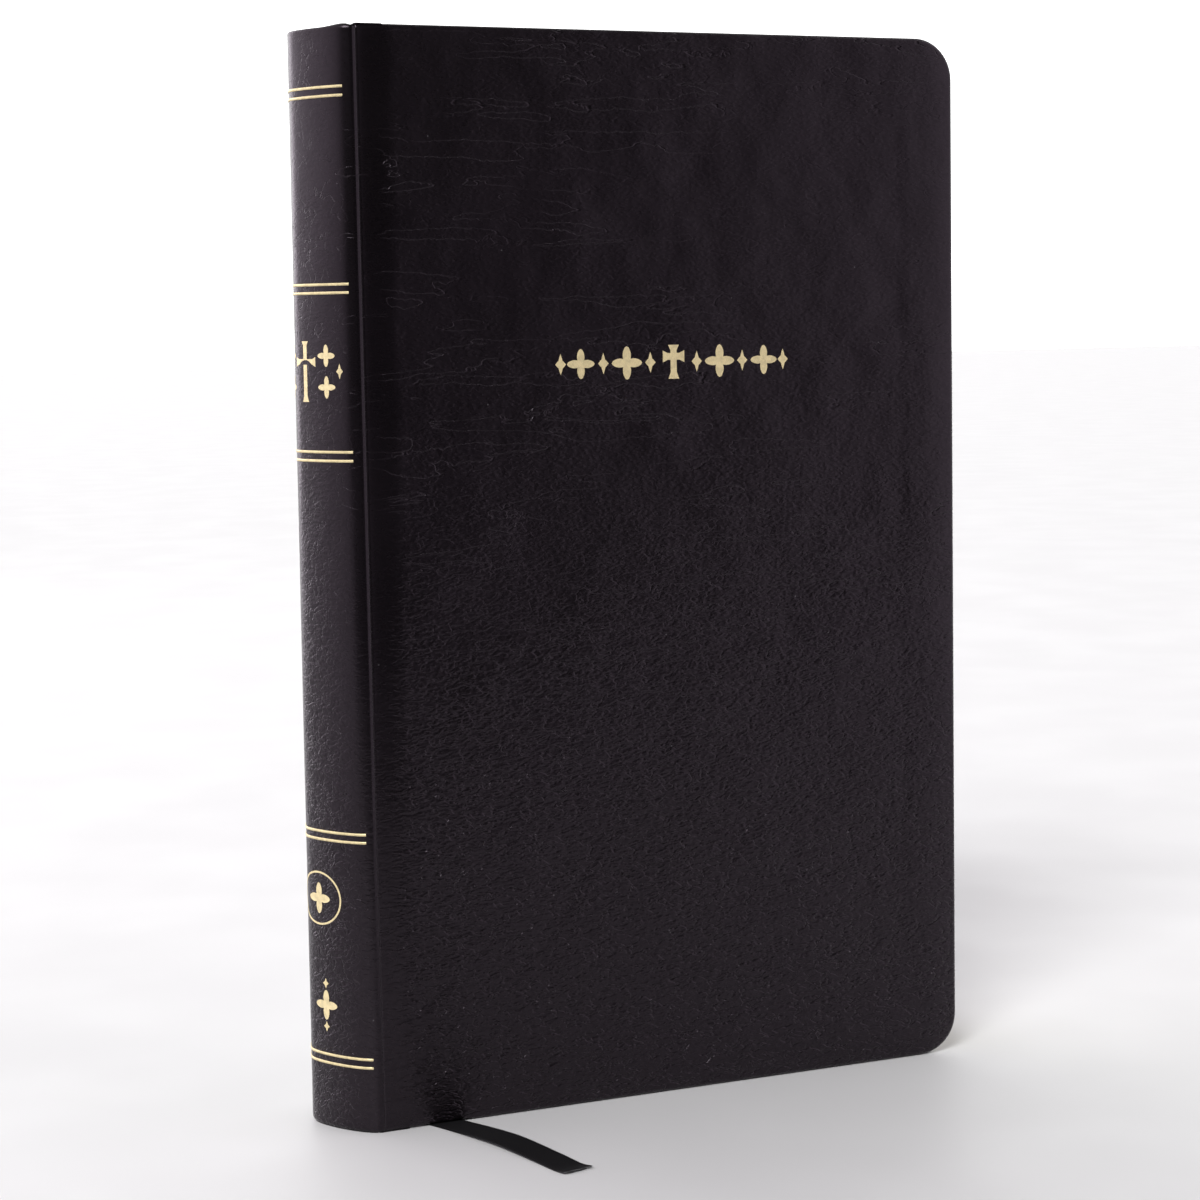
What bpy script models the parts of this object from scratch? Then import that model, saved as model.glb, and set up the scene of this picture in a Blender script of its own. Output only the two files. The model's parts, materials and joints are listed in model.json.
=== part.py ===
"""Reading bible in bonded leather, closed and standing upright on its tail.

+Z runs from tail to head, +X from the spine to the fore-edge, and the front
cover faces -Y. Lengths are in metres. The book opens at its ribbon.
"""
import bmesh
import bpy
from math import asin, ceil, cos, pi, radians, sin, sqrt
from mathutils import Vector

MM = 0.001

# Driving dimensions
HEIGHT = 228 * MM             # covers, tail to head
WIDTH = 146.5 * MM              # spine bulge to fore-edge
THICK = 30 * MM               # outer face to outer face
BULGE = 7 * MM                # spine stands out past the shoulders
CORNER_R = 9 * MM             # covers' fore-edge corners
SKIN = 0.6 * MM               # cover leather
BOARD = 1.3 * MM
TURN_IN = 0.4 * MM            # pared leather folded over the boards
TURN_IN_WIDE = 14 * MM
PASTEDOWN = 0.15 * MM
GAP = 0.05 * MM               # glue line between neighbours
JOINT = 7 * MM                # bare leather between shoulder and board
GROOVE = 0.5 * MM             # joint lies below the cover's face
SQUARE = 3 * MM               # covers stand out past the pages
PAGE_CORNER_R = 7 * MM
SIGNATURES = 12               # in each half of the block
LEAF = 0.1 * MM
FLYLEAF = 0.12 * MM
MIDDLE = 0.6 * MM             # half of the space at the ribbon's opening
RIBBON_WIDE = 7 * MM
RIBBON_THICK = 0.2 * MM

# Derived positions
HALF = THICK / 2
X_FORE = WIDTH / 2
X_SPINE = -WIDTH / 2
X_SHOULDER = X_SPINE + BULGE
X_HINGE = X_SHOULDER + 2 * MM
X_BOARD = X_SHOULDER + JOINT + 0.5 * MM
RIBBON_OUT = X_SHOULDER + 15.5 * MM     # where it runs out under the front cover
SPINE_R = (HALF ** 2 + BULGE ** 2) / (2 * BULGE)
SPINE_CX = X_SPINE + SPINE_R
SHOULDER_A = asin(HALF / SPINE_R)
POCKET = BOARD + 2 * GAP
COVER = SKIN + POCKET + TURN_IN + GAP + PASTEDOWN
BLOCK = HALF - COVER - 0.3 * MM
Z_TAIL = SQUARE
Z_HEAD = HEIGHT - SQUARE

# Depths below the spine's outer face
SPINE_SKIN = 0.7 * MM
INLAY_IN = 0.75 * MM
INLAY_OUT = 1.15 * MM
LAP = 1.55 * MM               # inner side of the leather folded in at each end
LINING_AT = 2.35 * MM
MULL_AT = 2.6 * MM
THREAD_AT = 3.1 * MM
BLOCK_AT = 3.35 * MM

BLOCK_R = SPINE_R - BLOCK_AT
LAP_A = SHOULDER_A - 0.10
LAYER_A = SHOULDER_A - 0.12
LAYER_START = 0.7 * MM / SPINE_R
BLOCK_LONG = X_FORE - SQUARE - SPINE_CX + sqrt(BLOCK_R ** 2 - BLOCK ** 2)

# Joint axes, all parallel to Z
AXIS_MIDDLE = (X_SPINE - 0.15 * MM, 0.0)
AXIS_FRONT = (X_HINGE, -HALF - 0.2 * MM)
AXIS_BACK = (X_HINGE, HALF + 2.3 * MM)

COLOURS = {
    "leather": ((0.012, 0.010, 0.013), 0.42),
    "board": ((0.34, 0.27, 0.19), 0.85),
    "endpaper": ((0.80, 0.77, 0.70), 0.80),
    "pages": ((0.83, 0.79, 0.69), 0.75),
    "card": ((0.55, 0.50, 0.42), 0.85),
    "mull": ((0.72, 0.69, 0.60), 0.95),
    "thread": ((0.85, 0.83, 0.76), 0.70),
    "headband": ((0.06, 0.05, 0.06), 0.65),
    "ribbon": ((0.010, 0.010, 0.012), 0.35),
}


def clear_scene():
    for obj in list(bpy.data.objects):
        bpy.data.objects.remove(obj, do_unlink=True)


def new_collection(name):
    group = bpy.data.collections.new(name)
    bpy.context.scene.collection.children.link(group)
    return group


def material(name, kind):
    colour, rough = COLOURS[kind]
    mat = bpy.data.materials.new(name)
    mat.use_nodes = True
    shader = mat.node_tree.nodes["Principled BSDF"]
    shader.inputs["Base Color"].default_value = (*colour, 1.0)
    shader.inputs["Roughness"].default_value = rough
    shader.inputs["Metallic"].default_value = 0.0
    mat.diffuse_color = (*colour, 1.0)
    return mat


def add(name, mesh, group, kind=None):
    obj = bpy.data.objects.new(name, mesh)
    group.objects.link(obj)
    if kind:
        mesh.materials.append(material(name, kind))
    else:
        obj.hide_render = True
        obj.display_type = "WIRE"
    return obj


def curve_mesh(curve):
    """Turns a filled curve into a closed mesh with flat faces."""
    holder = bpy.data.objects.new("outline", curve)
    bpy.context.scene.collection.objects.link(holder)
    bpy.context.view_layer.update()
    graph = bpy.context.evaluated_depsgraph_get()
    mesh = bpy.data.meshes.new_from_object(holder.evaluated_get(graph))
    bpy.data.objects.remove(holder, do_unlink=True)
    bpy.data.curves.remove(curve)
    bm = bmesh.new()
    bm.from_mesh(mesh)
    bmesh.ops.remove_doubles(bm, verts=bm.verts, dist=1e-6)
    bmesh.ops.dissolve_limit(bm, angle_limit=0.005, verts=bm.verts, edges=bm.edges)
    bmesh.ops.recalc_face_normals(bm, faces=bm.faces)
    bm.to_mesh(mesh)
    bm.free()
    return mesh


def prism(outline, low, high, upright=True):
    """Extrudes an outline: an XY one along Z if upright, else an XZ one along Y."""
    curve = bpy.data.curves.new("outline", "CURVE")
    curve.dimensions = "2D"
    curve.fill_mode = "BOTH"
    curve.extrude = (high - low) / 2
    spline = curve.splines.new("POLY")
    spline.points.add(len(outline) - 1)
    for point, (x, y) in zip(spline.points, outline):
        point.co = (x, y, 0, 1)
    spline.use_cyclic_u = True
    mesh = curve_mesh(curve)
    middle = (high + low) / 2
    for v in mesh.vertices:
        if upright:
            v.co.z += middle
        else:
            v.co = Vector((v.co.x, middle - v.co.z, v.co.y))
    return mesh


def tube(points, radius, sides=8):
    """Round cord through the points, with closed ends."""
    curve = bpy.data.curves.new("cord", "CURVE")
    curve.dimensions = "3D"
    curve.bevel_depth = radius
    curve.bevel_resolution = sides // 2 - 2
    curve.use_fill_caps = True
    spline = curve.splines.new("POLY")
    spline.points.add(len(points) - 1)
    for point, co in zip(spline.points, points):
        point.co = (*co, 1)
    return curve_mesh(curve)


def plate_outline(x0, x1, z0, z1, radius, steps=8):
    """Rectangle whose two corners at x1 are rounded."""
    points = [(x0, z0)]
    for z, start in ((z0 + radius, -pi / 2), (z1 - radius, 0.0)):
        for i in range(steps + 1):
            a = start + i * pi / 2 / steps
            points.append((x1 - radius + radius * cos(a), z + radius * sin(a)))
    points.append((x0, z1))
    return points


def on_spine(depth, angle, side):
    """Point at a depth below the spine's outer face; side -1 is the front half."""
    r = SPINE_R - depth
    return SPINE_CX - r * cos(angle), side * r * sin(angle)


def spine_arc(depth, a0, a1, side, steps=14):
    return [on_spine(depth, a0 + (a1 - a0) * i / steps, side) for i in range(steps + 1)]


def spine_band(outer, inner, a0, a1, side, z0, z1):
    outline = spine_arc(outer, a0, a1, side) + spine_arc(inner, a1, a0, side)
    return prism(outline, z0, z1)


def cut(obj, cutter, operation="DIFFERENCE"):
    mod = obj.modifiers.new(operation.title(), "BOOLEAN")
    mod.operation = operation
    mod.solver = "EXACT"
    mod.object = cutter
    return mod


def slab(y0, y1):
    """Two faces at these distances, in rising order."""
    return (y0, y1) if y0 < y1 else (y1, y0)


def cover(word, side, parts, cutters):
    """Leather over a board, with turn-ins on three sides, and its pastedown."""
    def layer(outer_depth, inner_depth):
        return slab(side * (HALF - outer_depth), side * (HALF - inner_depth))

    whole = plate_outline(X_BOARD - 1.0 * MM, X_FORE, 0, HEIGHT, CORNER_R)
    skin = add(f"{word}_cover_skin",
               prism(whole, *layer(0, SKIN + POCKET + TURN_IN), upright=False), parts, "leather")
    edge = skin.modifiers.new("Edge", "BEVEL")
    edge.width = 0.6 * MM
    edge.segments = 2
    edge.limit_method = "ANGLE"
    edge.angle_limit = radians(60)

    x_flap = X_BOARD - 0.3 * MM
    top, low = side * HALF, side * (HALF - GROOVE)
    under = side * (HALF - GROOVE - SKIN)
    flap = prism([(X_HINGE + 0.3 * MM, low), (X_BOARD - 1.7 * MM, low), (X_BOARD - 1.0 * MM, top),
                  (x_flap, top), (x_flap, under), (X_HINGE + 0.3 * MM, under)], 0, HEIGHT)
    inset = SKIN + GAP
    pocket = plate_outline(X_BOARD - 0.3 * MM, X_FORE - inset, inset, HEIGHT - inset,
                           CORNER_R - inset)
    behind = plate_outline(X_BOARD - 2 * MM, X_BOARD + 1 * MM, inset, HEIGHT - inset, 0.1 * MM)
    window = plate_outline(X_BOARD - 2 * MM, X_FORE - TURN_IN_WIDE, TURN_IN_WIDE,
                           HEIGHT - TURN_IN_WIDE, 1.0 * MM)
    deep = SKIN + POCKET
    shapes = (
        ("pocket", prism(pocket, *layer(SKIN, deep), upright=False), "DIFFERENCE"),
        ("behind", prism(behind, *layer(GROOVE + SKIN, deep), upright=False), "DIFFERENCE"),
        ("window", prism(window, *layer(deep - 0.1 * MM, deep + TURN_IN + 0.5 * MM),
                         upright=False), "DIFFERENCE"),
        ("flap", flap, "UNION"),
    )
    for tag, mesh, operation in shapes:
        cut(skin, add(f"cut_{word}_{tag}", mesh, cutters), operation)

    fit = inset + GAP
    board = plate_outline(X_BOARD, X_FORE - fit, fit, HEIGHT - fit, CORNER_R - fit)
    add(f"{word}_cover_board", prism(board, *layer(SKIN + GAP, SKIN + GAP + BOARD),
                                     upright=False), parts, "board")
    sheet = plate_outline(X_BOARD + 0.5 * MM, X_FORE - SQUARE, SQUARE, HEIGHT - SQUARE,
                          CORNER_R - SQUARE)
    add(f"{word}_pastedown", prism(sheet, *layer(COVER - PASTEDOWN, COVER), upright=False),
        parts, "endpaper")
    return skin


def ribbon_relief(skin, cutters):
    """Notch where the ribbon runs out under the front cover."""
    x = RIBBON_OUT
    notch = plate_outline(x - 5.6 * MM, x + 5.2 * MM, -1 * MM, 0.5 * MM, 0.3 * MM, steps=3)
    cut(skin, add("cut_front_ribbon", prism(notch, -HALF - 1 * MM, -HALF + 4 * MM,
                                            upright=False), cutters))


def spine_half(word, side, parts, cutters):
    """One half of the spine: leather, card inlay, mull, lining and both bands."""
    start = 0.15 * MM / SPINE_R
    top, low = side * HALF, side * (HALF - GROOVE)
    under = side * (HALF - GROOVE - SKIN)
    shell = spine_arc(0, start, SHOULDER_A, side)
    shell += [(X_SHOULDER + 0.6 * MM, low), (X_HINGE - 0.3 * MM, low), (X_HINGE - 0.3 * MM, under)]
    shell += spine_arc(SPINE_SKIN, SHOULDER_A - 0.035, start, side)
    skin = add(f"spine_skin_{word}", prism(shell, 0, HEIGHT), parts, "leather")
    lap = add(f"cut_{word}_lap", spine_band(0.3 * MM, LAP, LAYER_START, LAP_A, side, 0, HEIGHT),
              cutters)
    cut(skin, lap, "UNION")
    room = spine_band(SPINE_SKIN, INLAY_OUT + GAP, -0.01, LAP_A + 0.01, side,
                      SPINE_SKIN, HEIGHT - SPINE_SKIN)
    cut(skin, add(f"cut_{word}_room", room, cutters))
    open_side = spine_band(INLAY_OUT, LAP + 0.5 * MM, -0.01, LAP_A + 0.01, side,
                           TURN_IN_WIDE, HEIGHT - TURN_IN_WIDE)
    cut(skin, add(f"cut_{word}_inside", open_side, cutters))

    first, end = LAYER_START, LAYER_A
    z0, z1 = SPINE_SKIN + GAP, HEIGHT - SPINE_SKIN - GAP
    add(f"spine_inlay_{word}", spine_band(INLAY_IN, INLAY_OUT, first, end, side, z0, z1),
        parts, "card")
    add(f"spine_lining_{word}", spine_band(LINING_AT, LINING_AT + 0.2 * MM, first, end, side,
                                           Z_TAIL, Z_HEAD), parts, "card")
    add(f"mull_{word}", spine_band(MULL_AT, MULL_AT + 0.25 * MM, first, end, side,
                                   Z_TAIL + 10 * MM, Z_HEAD - 10 * MM), parts, "mull")
    radius = 0.8 * MM
    for place, z in (("head", Z_HEAD + radius + GAP), ("tail", Z_TAIL - radius - GAP)):
        arc = [(x, y, z) for x, y in spine_arc(BLOCK_AT + radius, radians(0.9), LAYER_A, side)]
        add(f"{place}_band_{word}", tube(arc, radius), parts, "headband")


def round_x(y):
    """How far the rounded block's back lies from its foremost line."""
    return SPINE_CX - sqrt(BLOCK_R ** 2 - y ** 2)


def sheet(name, near, far, side, parts, kind, inward=0.0):
    """Stack of leaves whose spine and fore-edge both follow the block's round."""
    outline = plate_outline(-inward, BLOCK_LONG, Z_TAIL, Z_HEAD, PAGE_CORNER_R)
    mesh = prism(outline, *slab(side * near, side * far), upright=False)
    for v in mesh.vertices:
        v.co.x += round_x(v.co.y)
    return add(name, mesh, parts, kind)


def sewn_half(word, side, parts):
    """Signatures from the middle outwards, one sewing thread and a flyleaf."""
    room = BLOCK - FLYLEAF - GAP - MIDDLE
    pitch = room / SIGNATURES
    first = 1 if side < 0 else SIGNATURES + 1
    middles = []
    for i in range(SIGNATURES):
        order = SIGNATURES - 1 - i if side < 0 else i
        near = MIDDLE + i * pitch
        sheet(f"signature_{first + order:02d}", near, near + pitch - GAP, side, parts, "pages")
        middles.append(near + pitch / 2)
    sheet(f"{word}_flyleaf", BLOCK - FLYLEAF, BLOCK, side, parts, "endpaper")

    z0, z1, bend = Z_TAIL + 22 * MM, Z_HEAD - 22 * MM, 0.45 * MM
    r = SPINE_R - THREAD_AT
    path = []
    for i, y in enumerate(middles):
        ends = (z0, z1) if i % 2 == 0 else (z1, z0)
        inward = 1 if ends[1] > ends[0] else -1
        y0, y1 = y - bend * (i > 0), y + bend * (i < SIGNATURES - 1)
        for yy, z in ((y0, ends[0]), (y, ends[0] + inward * bend),
                      (y, ends[1] - inward * bend), (y1, ends[1])):
            path.append((SPINE_CX - sqrt(r * r - yy * yy), side * yy, z))
    add(f"sewing_thread_{word}", tube(path, 0.18 * MM), parts, "thread")


def ribbon_path():
    """Stations of the ribbon: position and the direction of its width, in mm."""
    depth, y = 2.12 * MM, 4.1
    a = asin(y * MM / (SPINE_R - depth))
    x = on_spine(depth, a, 1)[0] / MM
    out = RIBBON_OUT / MM
    along = (sin(a), cos(a), 0)
    across = (1, 0, 0)
    face = -HALF / MM
    return [
        ((x, y, 212.0), along), ((x, y, 223.0), along), ((x + 0.05, y, 225.2), along),
        ((x + 0.5, y, 226.75), along), ((x + 1.7, 4.0, 227.3), (0.1, 0.99, 0)),
        ((x + 3.5, 3.4, 227.35), (0.35, 0.93, 0)), ((x + 5.2, 2.1, 227.2), (0.7, 0.7, 0)),
        ((x + 6.2, 0.9, 226.6), (0.92, 0.36, 0)), ((x + 6.6, 0.2, 225.6), across),
        ((x + 6.7, 0.0, 223.6), across), ((out - 10.2, 0.0, 190.0), across),
        ((out - 8.7, 0.0, 110.0), across), ((out - 7.4, 0.0, 40.0), across),
        ((out - 6.8, 0.0, 6.0), across), ((out - 6.7, 0.0, 3.2), across),
        ((out - 6.65, -0.3, 1.7), across), ((out - 6.6, -1.0, 0.75), (1, 0.05, 0)),
        ((out - 6.45, -1.9, 0.34), (0.985, 0.17, 0)), ((out - 6.1, -3.1, 0.18), (0.95, 0.3, 0)),
        ((out - 5.4, -4.7, 0.13), (0.91, 0.41, 0)), ((out - 3.3, face + 6.3, 0.13), (0.9, 0.43, 0)),
        ((out, face - 0.7, 0.13), (0.94, 0.34, 0)),
        ((out + 5.0, face - 17.5, 0.13), (0.965, 0.26, 0)),
        ((out + 8.8, face - 33.1, 0.13), (0.97, 0.24, 0)),
        ((out + 10.9, face - 42.2, 0.13), (0.97, 0.24, 0)),
    ]


def smooth_stations(stations, step):
    """Catmull-Rom curve through the stations, sampled about every step."""
    out = []
    for i in range(len(stations) - 1):
        near = [stations[min(max(i + k, 0), len(stations) - 1)] for k in (-1, 0, 1, 2)]
        p = [Vector(s[0]) for s in near]
        w0, w1 = Vector(near[1][1]), Vector(near[2][1])
        gap = (p[2] - p[1]).length
        before = (p[2] - p[0]) / max((p[2] - p[1]).length + (p[1] - p[0]).length, 1e-9) * gap
        after = (p[3] - p[1]) / max((p[3] - p[2]).length + (p[2] - p[1]).length, 1e-9) * gap
        count = max(2, ceil(gap / step))
        for k in range(count):
            t = k / count
            pos = (p[1] * (2 * t ** 3 - 3 * t ** 2 + 1) + before * (t ** 3 - 2 * t ** 2 + t)
                   + p[2] * (3 * t ** 2 - 2 * t ** 3) + after * (t ** 3 - t ** 2))
            out.append((pos, w0.lerp(w1, t)))
    out.append((Vector(stations[-1][0]), Vector(stations[-1][1])))
    return out


def ribbon(parts):
    """Flat marker: a grid laid along the path, then given its thickness."""
    stations = smooth_stations(ribbon_path(), 3.0)
    bm = bmesh.new()
    bmesh.ops.create_grid(bm, x_segments=len(stations) - 1, y_segments=2, size=0.5)
    for v in bm.verts:
        i = round((v.co.x + 0.5) * (len(stations) - 1))
        pos, wide = stations[i]
        ahead = stations[min(i + 1, len(stations) - 1)][0] - stations[max(i - 1, 0)][0]
        wide = (wide - ahead * wide.dot(ahead) / ahead.length_squared).normalized()
        v.co = pos * MM + wide * v.co.y * RIBBON_WIDE
    mesh = bpy.data.meshes.new("ribbon_marker")
    bm.to_mesh(mesh)
    bm.free()
    obj = add("ribbon_marker", mesh, parts, "ribbon")
    thick = obj.modifiers.new("Thickness", "SOLIDIFY")
    thick.thickness = RIBBON_THICK
    thick.offset = 0


def hinge(name, axis, members, parts):
    """Empty on a joint axis, parent of every piece that turns about it."""
    pivot = bpy.data.objects.new(name, None)
    pivot.empty_display_size = 0.02
    pivot.location = (*axis, 0)
    parts.objects.link(pivot)
    bpy.context.view_layer.update()
    for obj in members:
        obj.parent = pivot
        obj.matrix_parent_inverse = pivot.matrix_world.inverted()
    return pivot


def build():
    clear_scene()
    parts = new_collection("Reading bible")
    cutters = new_collection("Cutters")
    for word, side in (("front", -1), ("back", 1)):
        skin = cover(word, side, parts, cutters)
        if side < 0:
            ribbon_relief(skin, cutters)
        spine_half(word, side, parts, cutters)
        sewn_half(word, side, parts)
    into_fold = BLOCK_AT - SPINE_SKIN - 0.1 * MM
    for name, near, side in (("turned_leaf_a", 0.26 * MM, -1), ("turned_leaf_b", 0.45 * MM, -1),
                             ("right_leaf", 0.26 * MM, 1)):
        sheet(name, near, near + LEAF, side, parts, "pages", into_fold)
    ribbon(parts)

    nodes = [o for o in parts.objects]
    front_cover = [o for o in nodes if o.name.startswith(("front_cover_", "front_paste"))]
    back_cover = [o for o in nodes if o.name.startswith(("back_cover_", "back_paste"))]
    front_half = [o for o in nodes if o.name.endswith("_front") or o.name == "front_flyleaf"
                  or o.name in {f"signature_{i:02d}" for i in range(1, SIGNATURES + 1)}]
    opening = hinge("middle_opening", AXIS_MIDDLE, front_half, parts)
    for name in ("turned_leaf_a", "turned_leaf_b"):
        hinge(name + "_turn", AXIS_MIDDLE, [bpy.data.objects[name]], parts)
    front = hinge("front_cover_hinge", AXIS_FRONT, front_cover, parts)
    front.parent = opening
    front.matrix_parent_inverse = opening.matrix_world.inverted()
    hinge("back_cover_hinge", AXIS_BACK, back_cover, parts)
    cutters.hide_render = True


build()
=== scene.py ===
"""Leather-bound reading bible: finished leather, gold, paper, ribbon, floor, light and camera."""
import json
import math
import random

import bmesh
import bpy
import numpy as np
from bpy.props import FloatProperty, FloatVectorProperty, IntProperty, PointerProperty
from mathutils import Matrix, Vector, noise


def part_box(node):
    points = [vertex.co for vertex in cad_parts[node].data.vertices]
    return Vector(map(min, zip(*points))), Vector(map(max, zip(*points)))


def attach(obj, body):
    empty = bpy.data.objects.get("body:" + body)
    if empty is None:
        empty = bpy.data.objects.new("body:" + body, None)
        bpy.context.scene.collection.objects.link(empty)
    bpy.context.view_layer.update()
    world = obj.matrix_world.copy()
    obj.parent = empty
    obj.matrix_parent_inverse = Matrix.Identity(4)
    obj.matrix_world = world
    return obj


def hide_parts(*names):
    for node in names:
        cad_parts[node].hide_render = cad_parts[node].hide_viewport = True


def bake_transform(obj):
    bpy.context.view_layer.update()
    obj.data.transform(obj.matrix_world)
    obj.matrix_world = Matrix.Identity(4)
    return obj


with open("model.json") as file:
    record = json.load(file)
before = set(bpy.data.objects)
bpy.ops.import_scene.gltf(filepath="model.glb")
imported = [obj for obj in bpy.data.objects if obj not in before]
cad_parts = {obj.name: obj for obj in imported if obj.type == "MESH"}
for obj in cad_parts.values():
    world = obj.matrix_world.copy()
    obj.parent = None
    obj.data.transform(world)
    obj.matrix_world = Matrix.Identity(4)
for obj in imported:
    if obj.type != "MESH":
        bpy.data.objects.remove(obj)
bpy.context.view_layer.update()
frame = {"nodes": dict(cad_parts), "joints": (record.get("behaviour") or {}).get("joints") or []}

bl_info = {
    "name": "Reading Bible",
    "version": (1, 0, 0),
    "blender": (4, 5, 0),
    "location": "3D View > Sidebar > Bible",
    "description": "Makes the finished surfaces of a leather-bound bible round its jointed frame",
    "category": "Object",
}

MM = 0.001


def corner(node, which):
    return np.array(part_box(node)[which]) / MM


def joint_at(name):
    found = next(j for j in frame["joints"] if j["name"] == name)
    return np.array(found["pos_m"]) / MM


# Sizes read from the frame, in millimetres
TALL = corner("front_cover_skin", 1)[2]
FORE = corner("front_cover_skin", 1)[0]
HALF = -corner("front_cover_skin", 0)[1]
BACKBONE = corner("spine_skin_front", 0)[0]
HINGE = joint_at("front_cover_hinge")[0]
SHOULDER = HINGE - 2.0
SPINE_RADIUS = (HALF ** 2 + (SHOULDER - BACKBONE) ** 2) / (2 * (SHOULDER - BACKBONE))
PAGE_LOW, PAGE_HIGH = corner("signature_01", 0)[2], corner("signature_01", 1)[2]
PAGE_FORE = corner("front_pastedown", 1)[0]
CORNER = 9.0
PAGE_CORNER = 7.0
SHEET_CORNER = 6.0
SPINE_LAYERS = 3.35
HALF_SIGNATURES = 12
CORNER_COLUMNS = 50.0  # past this, columns draw in at the rounded corners
RIBBON_OUT = SHOULDER + 15.5
EDGE_ROUND = 1.1
CASE_DEEP = 2.45   # from the cover's face to the inside of its turn-in
SPINE_DEEP = 1.6   # the same at the spine
TURN_IN = 9.0      # how far the leather is folded in
BOARD_STEP = (12.5, 13.6)  # a faint step runs round the cover this far from its edge
FOIL_ABOVE, FOIL_BELOW = 0.035, -0.12
LINE_PITCH = 3.6   # rows of printed strokes
COLUMN_HALF = 53.0  # from the page's middle to the outer edge of a column


# ---------------------------------------------------------------- small helpers

def make_object(name, verts, faces, mats, smooth=True, face_mats=None):
    """A plain mesh object from points in millimetres."""
    mesh = bpy.data.meshes.new(name)
    mesh.from_pydata([Vector(v) * MM for v in verts], [], faces)
    for mat in mats:
        mesh.materials.append(mat)
    mesh.polygons.foreach_set("use_smooth", [smooth] * len(mesh.polygons))
    if face_mats is not None:
        mesh.polygons.foreach_set("material_index", face_mats)
    mesh.update()
    obj = bpy.data.objects.new(name, mesh)
    bpy.context.scene.collection.objects.link(obj)
    return obj


def settle(obj):
    """Turns the object's modifiers into plain mesh and takes them off."""
    bpy.context.view_layer.update()
    graph = bpy.context.evaluated_depsgraph_get()
    mesh = bpy.data.meshes.new_from_object(obj.evaluated_get(graph))
    obj.modifiers.clear()
    obj.data = mesh
    return obj


def thicken(obj, thickness, offset=-1.0):
    """Gives a skin its thickness and keeps it between the tail's and the head's planes."""
    mod = obj.modifiers.new("Thickness", "SOLIDIFY")
    mod.thickness = thickness * MM
    mod.offset = offset
    mod.use_even_offset = False
    settle(obj)
    for vert in obj.data.vertices:
        vert.co.z = min(max(vert.co.z, 0.0), TALL * MM)
    return map_flat(obj)


def map_flat(obj):
    """UV map in metres, across and up, so a pattern stays on the piece when it bends."""
    layer = obj.data.uv_layers.new(name="UVMap")
    verts = obj.data.vertices
    flat = [value for loop in obj.data.loops
            for value in (verts[loop.vertex_index].co.x, verts[loop.vertex_index].co.z)]
    layer.data.foreach_set("uv", flat)
    return obj


def face_out(obj):
    bm = bmesh.new()
    bm.from_mesh(obj.data)
    bmesh.ops.recalc_face_normals(bm, faces=bm.faces)
    bm.to_mesh(obj.data)
    bm.free()
    return obj


def grid_faces(rows, cols, flip=False):
    faces = []
    for i in range(rows - 1):
        for j in range(cols - 1):
            a = i * cols + j
            quad = (a, a + 1, a + cols + 1, a + cols)
            faces.append(quad[::-1] if flip else quad)
    return faces


def ramp(x, a, b):
    t = np.clip((x - a) / (b - a), 0.0, 1.0)
    return t * t * (3 - 2 * t)


# ---------------------------------------------------------------- materials

class Nodes:
    """Short ways to add and wire the nodes of one tree."""

    def __init__(self, tree):
        self.tree = tree

    def set(self, node, values):
        for key, value in values.items():
            if isinstance(value, bpy.types.NodeSocket):
                self.tree.links.new(value, node.inputs[key])
            else:
                node.inputs[key].default_value = value

    def node(self, kind, values=None, **props):
        made = self.tree.nodes.new(kind)
        for key, value in props.items():
            setattr(made, key, value)
        self.set(made, values or {})
        return made

    def math(self, operation, a, b=0.0):
        return self.node("ShaderNodeMath", {0: a, 1: b}, operation=operation).outputs[0]

    def spread(self, value, a, b, low=0.0, high=1.0):
        made = self.node("ShaderNodeMapRange", {"Value": value, "From Min": a, "From Max": b,
                                                "To Min": low, "To Max": high},
                         interpolation_type="SMOOTHSTEP")
        return made.outputs["Result"]

    def blend_colour(self, factor, first, second):
        first, second = (c if isinstance(c, bpy.types.NodeSocket) else (*c, 1.0)
                         for c in (first, second))
        made = self.node("ShaderNodeMix", data_type="RGBA")
        self.set(made, {0: factor, 6: first, 7: second})
        return made.outputs[2]

    def split(self, vector):
        return self.node("ShaderNodeSeparateXYZ", {"Vector": vector}).outputs


class Finish(Nodes):
    """A new material and short ways to make its patterns."""

    def __init__(self, name, colour, rough, **sockets):
        self.mat = bpy.data.materials.new(name)
        self.mat.use_nodes = True
        super().__init__(self.mat.node_tree)
        self.shader = self.tree.nodes["Principled BSDF"]
        self.set(self.shader, {"Base Color": (*colour, 1.0), "Roughness": rough, **sockets})
        self.mat.diffuse_color = (*colour, 1.0)

    def place(self, scale=(1000, 1000, 1000), turn=(0, 0, 0), source="Object"):
        """Object position with one unit to a millimetre, then scaled and turned."""
        coords = self.node("ShaderNodeTexCoord")
        mapping = self.node("ShaderNodeMapping", {"Vector": coords.outputs[source]})
        mapping.inputs["Scale"].default_value = scale
        mapping.inputs["Rotation"].default_value = turn
        return mapping.outputs["Vector"]

    def noise(self, vector, scale, detail=3.0, rough=0.55, distortion=0.0):
        made = self.node("ShaderNodeTexNoise", {"Vector": vector, "Scale": scale, "Detail": detail,
                                                "Roughness": rough, "Distortion": distortion})
        return made.outputs["Fac"]

    def bump(self, height, depth, strength=1.0, under=None):
        made = self.node("ShaderNodeBump", {"Height": height, "Distance": depth * MM,
                                            "Strength": strength})
        if under is not None:
            self.tree.links.new(under, made.inputs["Normal"])
        return made.outputs["Normal"]


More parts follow.
